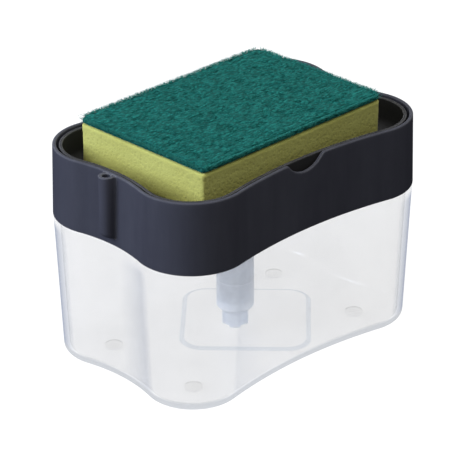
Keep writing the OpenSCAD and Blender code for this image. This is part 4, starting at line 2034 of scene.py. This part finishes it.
@dataclass
class Fibres:
    """Loose fibres of the scouring pad: what the lying and the standing ones share."""

    palette: Palette
    lay: SpongeLay
    body: str = "sponge"
    slot: str = "pad_green"

    @staticmethod
    def strand(maker: bmesh.types.BMesh, line: Sequence[Vector], radius: float) -> None:
        """Adds one three-sided strand with pointed ends.

        Args:
            maker: the mesh under construction.
            line: points of the strand.
            radius: its radius in the middle.
        """
        sides = 3
        tips = maker.verts.new(line[0]), maker.verts.new(line[-1])
        rows = []
        for before, here, after in zip(line, line[1:], line[2:]):
            ahead = (after - before).normalized()
            side = ahead.cross(Vector((0, 0, 1))).normalized()
            up = side.cross(ahead)
            row = []
            for j in range(sides):
                turn = 2 * math.pi * j / sides + QUARTER
                spoke = side * math.cos(turn) + up * math.sin(turn)
                row.append(maker.verts.new(here + spoke * radius))
            rows.append(row)
        for j in range(sides):
            i = (j + 1) % sides
            maker.faces.new((tips[0], rows[0][j], rows[0][i]))
            maker.faces.new((tips[1], rows[-1][i], rows[-1][j]))
            for low, high in zip(rows, rows[1:]):
                maker.faces.new((low[j], high[j], high[i], low[i]))

    def grow(
        self, name: str, count: int, seed: int, fibre: Callable[[random.Random, Vector, Vector], Strand]
    ) -> bpy.types.Object:
        """Makes one piece of many fibres.

        Args:
            name: name of the piece.
            count: how many fibres it has.
            seed: start of the random draws.
            fibre: draws one fibre between the pad's lowest and highest corner.

        Returns:
            The piece, laid where the pad lies.
        """
        draw = random.Random(seed)
        low, high = self.lay.span("scouring_pad")
        maker = bmesh.new()
        for _ in range(count):
            self.strand(maker, *fibre(draw, low, high))
        return self.lay.laid(place(name, maker))


@dataclass
class LyingFibres(Fibres):
    """Crinkled fibres that lie on the pad."""

    count: int = 1900
    seed: int = 7
    radius: float = 0.085 * MM
    radius_swing: Pair = (0.7, 1.25)
    length: Pair = (0.005, 0.012)
    spans: int = 5
    crinkle: float = 0.45
    edge_in: float = 1.3 * MM
    sink: float = 0.35 * MM
    arch: Pair = (0.03, 0.22)

    def build(self) -> None:
        """Builds the fibres."""
        piece = self.grow("pad_fibres", self.count, self.seed, self.fibre)
        dress(piece, self.palette.pad, self.body, self.slot)

    def fibre(self, draw: random.Random, low: Vector, high: Vector) -> Strand:
        """Draws one fibre.

        Args:
            draw: the source of chance.
            low: the pad's lowest corner.
            high: the pad's highest corner.

        Returns:
            Its points and its radius.
        """
        length = draw.uniform(*self.length)
        heading = draw.uniform(0, 2 * math.pi)
        point = Vector((draw.uniform(low.x, high.x), draw.uniform(low.y, high.y), 0))
        line = []
        for k in range(self.spans + 1):
            arch = math.sin(math.pi * k / self.spans)
            height = high.z - self.sink + arch * draw.uniform(*self.arch) * MM
            x = min(max(point.x, low.x + self.edge_in), high.x - self.edge_in)
            y = min(max(point.y, low.y + self.edge_in), high.y - self.edge_in)
            line.append(Vector((x, y, height)))
            heading += draw.uniform(-self.crinkle, self.crinkle)
            point += Vector((math.cos(heading), math.sin(heading), 0)) * length / self.spans
        return line, self.radius * draw.uniform(*self.radius_swing)


@dataclass
class EdgeFuzz(Fibres):
    """Short fibres that stand out along the pad's edges, paler to paint the glow of thin fibres lit
    from behind.
    """

    count: int = 9000
    seed: int = 8
    radius: float = 0.065 * MM
    radius_swing: Pair = (0.6, 1.3)
    root_in: float = 1.0 * MM
    corner_in: float = 2.2 * MM
    stand_out: Pair = (-0.0002, 0.0012)
    stand_up: float = 0.7 * MM
    lean: float = 1.3
    bend: float = 0.8
    shares: tuple[float, ...] = (0.0, 0.35, 0.7, 1.0)

    def build(self) -> None:
        """Builds the fuzz."""
        piece = self.grow("pad_fuzz_painted_glow", self.count, self.seed, self.fibre)
        dress(piece, self.palette.fuzz, self.body, self.slot)

    def fibre(self, draw: random.Random, low: Vector, high: Vector) -> Strand:
        """Draws one fibre that stands out from the pad's edge.

        Args:
            draw: the source of chance.
            low: the pad's lowest corner.
            high: the pad's highest corner.

        Returns:
            Its points and its radius.
        """
        along = draw.uniform(-1, 1)
        on_side = draw.random() < high.x / (high.x + high.y)
        end = draw.choice((-1, 1))
        out = Vector((0, end, 0)) if on_side else Vector((end, 0, 0))
        side = Vector((1, 0, 0)) if on_side else Vector((0, 1, 0))
        reach = high.y if on_side else high.x
        span = (high.x if on_side else high.y) - self.corner_in
        height = draw.uniform(low.z + self.root_in / 2, high.z - self.root_in / 2)
        root = out * (reach - self.root_in) + side * along * span + Vector((0, 0, height))
        stand = draw.uniform(*self.stand_out) + self.root_in
        lean = draw.uniform(-self.lean, self.lean)
        bend = draw.uniform(-self.bend, self.bend)
        line = []
        for share in self.shares:
            point = root + out * stand * share + side * stand * (lean * share + bend * share * share)
            rise = draw.uniform(0.0, 1.0) * share * (high.z + self.stand_up - height)
            line.append(point + Vector((0, 0, rise)))
        return line, self.radius * draw.uniform(*self.radius_swing)


def direction(azimuth: float, elevation: float) -> Vector:
    """Unit vector towards a viewer. Azimuth 0 looks along +Y, both in degrees."""
    a, e = math.radians(azimuth), math.radians(elevation)
    return Vector((math.sin(a) * math.cos(e), -math.cos(a) * math.cos(e), math.sin(e)))


@dataclass(frozen=True)
class Lamp:
    """Soft square lamp that faces the caddy."""

    name: str
    azimuth: float
    elevation: float
    power: float
    size: float
    colour: Colour = WHITE
    distance: float = 0.9

    def place(self, aim: Vector) -> None:
        """Adds the lamp.

        Args:
            aim: the point that it faces.
        """
        data = bpy.data.lights.new(self.name, "AREA")
        data.energy = self.power
        data.color = self.colour
        data.size = self.size
        lamp = bpy.data.objects.new(self.name, data)
        bpy.context.scene.collection.objects.link(lamp)
        back = direction(self.azimuth, self.elevation)
        lamp.location = aim + back * self.distance
        lamp.rotation_mode = "QUATERNION"
        lamp.rotation_quaternion = (-back).to_track_quat("-Z", "Y")
        log.info("%s: %.1f W", self.name, self.power)


@dataclass
class Studio:
    """Pale floor, white surroundings, soft lamps and the camera."""

    azimuth: float = -43.48
    elevation: float = 26.38
    distance: float = 1.04
    lens: float = 205.4
    clip: Pair = (0.05, 30.0)
    roll: float = -0.19
    aim_z: float = 45.2 * MM
    aim_right: float = -2.2 * MM
    surround: float = 0.215
    floor_half: float = 6.0
    floor_glow: float = 0.97
    floor_gloss: float = 0.1
    floor_roughness: float = 0.9
    floor_colour: Colour = (0.15, 0.15, 0.15)
    lamps: tuple[Lamp, ...] = (
        Lamp("left_softbox", -114.0, 26.0, 6.8, 0.5, (0.74, 0.82, 1.0)),
        Lamp("top_softbox", -30.0, 80.0, 4.5, 0.7),
    )

    def build(self) -> None:
        """Builds the studio."""
        self.floor()
        self.world()
        for lamp in self.lamps:
            lamp.place(Vector((0, 0, self.aim_z)))
        self.camera()
        bpy.context.scene.view_settings.view_transform = "Standard"

    @staticmethod
    def seen(net: ShaderNet, glossy: float) -> bpy.types.NodeSocket:
        """Tells the rays that show the background.

        Args:
            net: the tree that asks.
            glossy: share that a gloss shows.

        Returns:
            1 for rays from the camera or through a wall, and the glossy share for a gloss.
        """
        path = net.node("ShaderNodeLightPath")
        gloss = net.product(path.outputs["Is Glossy Ray"], glossy)
        through = net.math("MINIMUM", path.outputs["Transmission Depth"], 1.0)
        through = net.math("MAXIMUM", through, path.outputs["Is Transmission Ray"])
        wall = net.math("MAXIMUM", path.outputs["Is Camera Ray"], through)
        return net.math("MAXIMUM", wall, gloss)

    def floor(self) -> None:
        """Wide pale floor that glows just enough to read as white and keeps the shadow."""
        maker = bmesh.new()
        half = self.floor_half
        spots = ((-half, -half, 0), (half, -half, 0), (half, half, 0), (-half, half, 0))
        maker.faces.new([maker.verts.new(spot) for spot in spots])
        floor = place("studio_floor", maker)
        material, net, shader = blank_material("studio_floor")
        net.feed(
            shader,
            {
                "Base Color": self.floor_colour,
                "Roughness": self.floor_roughness,
                "Specular IOR Level": 0.0,
                "Emission Color": WHITE,
                "Emission Strength": net.product(self.seen(net, self.floor_gloss), self.floor_glow),
            },
        )
        floor.data.materials.append(material)

    def world(self) -> None:
        """White surroundings for what shows them, and a dimmer even light for the rest."""
        world = bpy.data.worlds.new("studio")
        world.use_nodes = True
        bpy.context.scene.world = world
        net = ShaderNet(world.node_tree)
        background = next(node for node in world.node_tree.nodes if node.type == "BACKGROUND")
        strength = net.spread(self.seen(net, 1.0), RISING, (self.surround, 1.0))
        net.feed(background, {"Color": WHITE, "Strength": strength})

    def camera(self) -> None:
        """Camera at the photograph's angle."""
        data = bpy.data.cameras.new("camera")
        data.lens = self.lens
        data.clip_start, data.clip_end = self.clip
        camera = bpy.data.objects.new("camera", data)
        bpy.context.scene.collection.objects.link(camera)
        back = direction(self.azimuth, self.elevation)
        turn = math.radians(self.azimuth)
        right = Vector((math.cos(turn), math.sin(turn), 0))
        camera.location = back * self.distance + Vector((0, 0, self.aim_z)) + right * self.aim_right
        camera.rotation_mode = "QUATERNION"
        level = (-back).to_track_quat("-Z", "Y")
        camera.rotation_quaternion = level @ Quaternion((0, 0, 1), math.radians(self.roll))
        bpy.context.scene.camera = camera


def main() -> None:
    """Builds the sub-assemblies in order, then the studio."""
    logging.basicConfig(level=logging.INFO, format="%(name)s: %(message)s")
    outline = WaistedOutline()
    palette = Palette()
    lay = SpongeLay()
    feet = FootPads(outline, palette)
    Tank(outline, palette, feet).build()
    feet.build()
    Collar(outline, palette).build()
    Pump(palette).build()
    tray = Tray(outline, palette)
    tray.build()
    SoapOutlet(palette, tray.floor_z).build()
    Sponge(palette, lay).build()
    LyingFibres(palette, lay).build()
    EdgeFuzz(palette, lay).build()
    Studio().build()


if __name__ == "__main__":
    main()
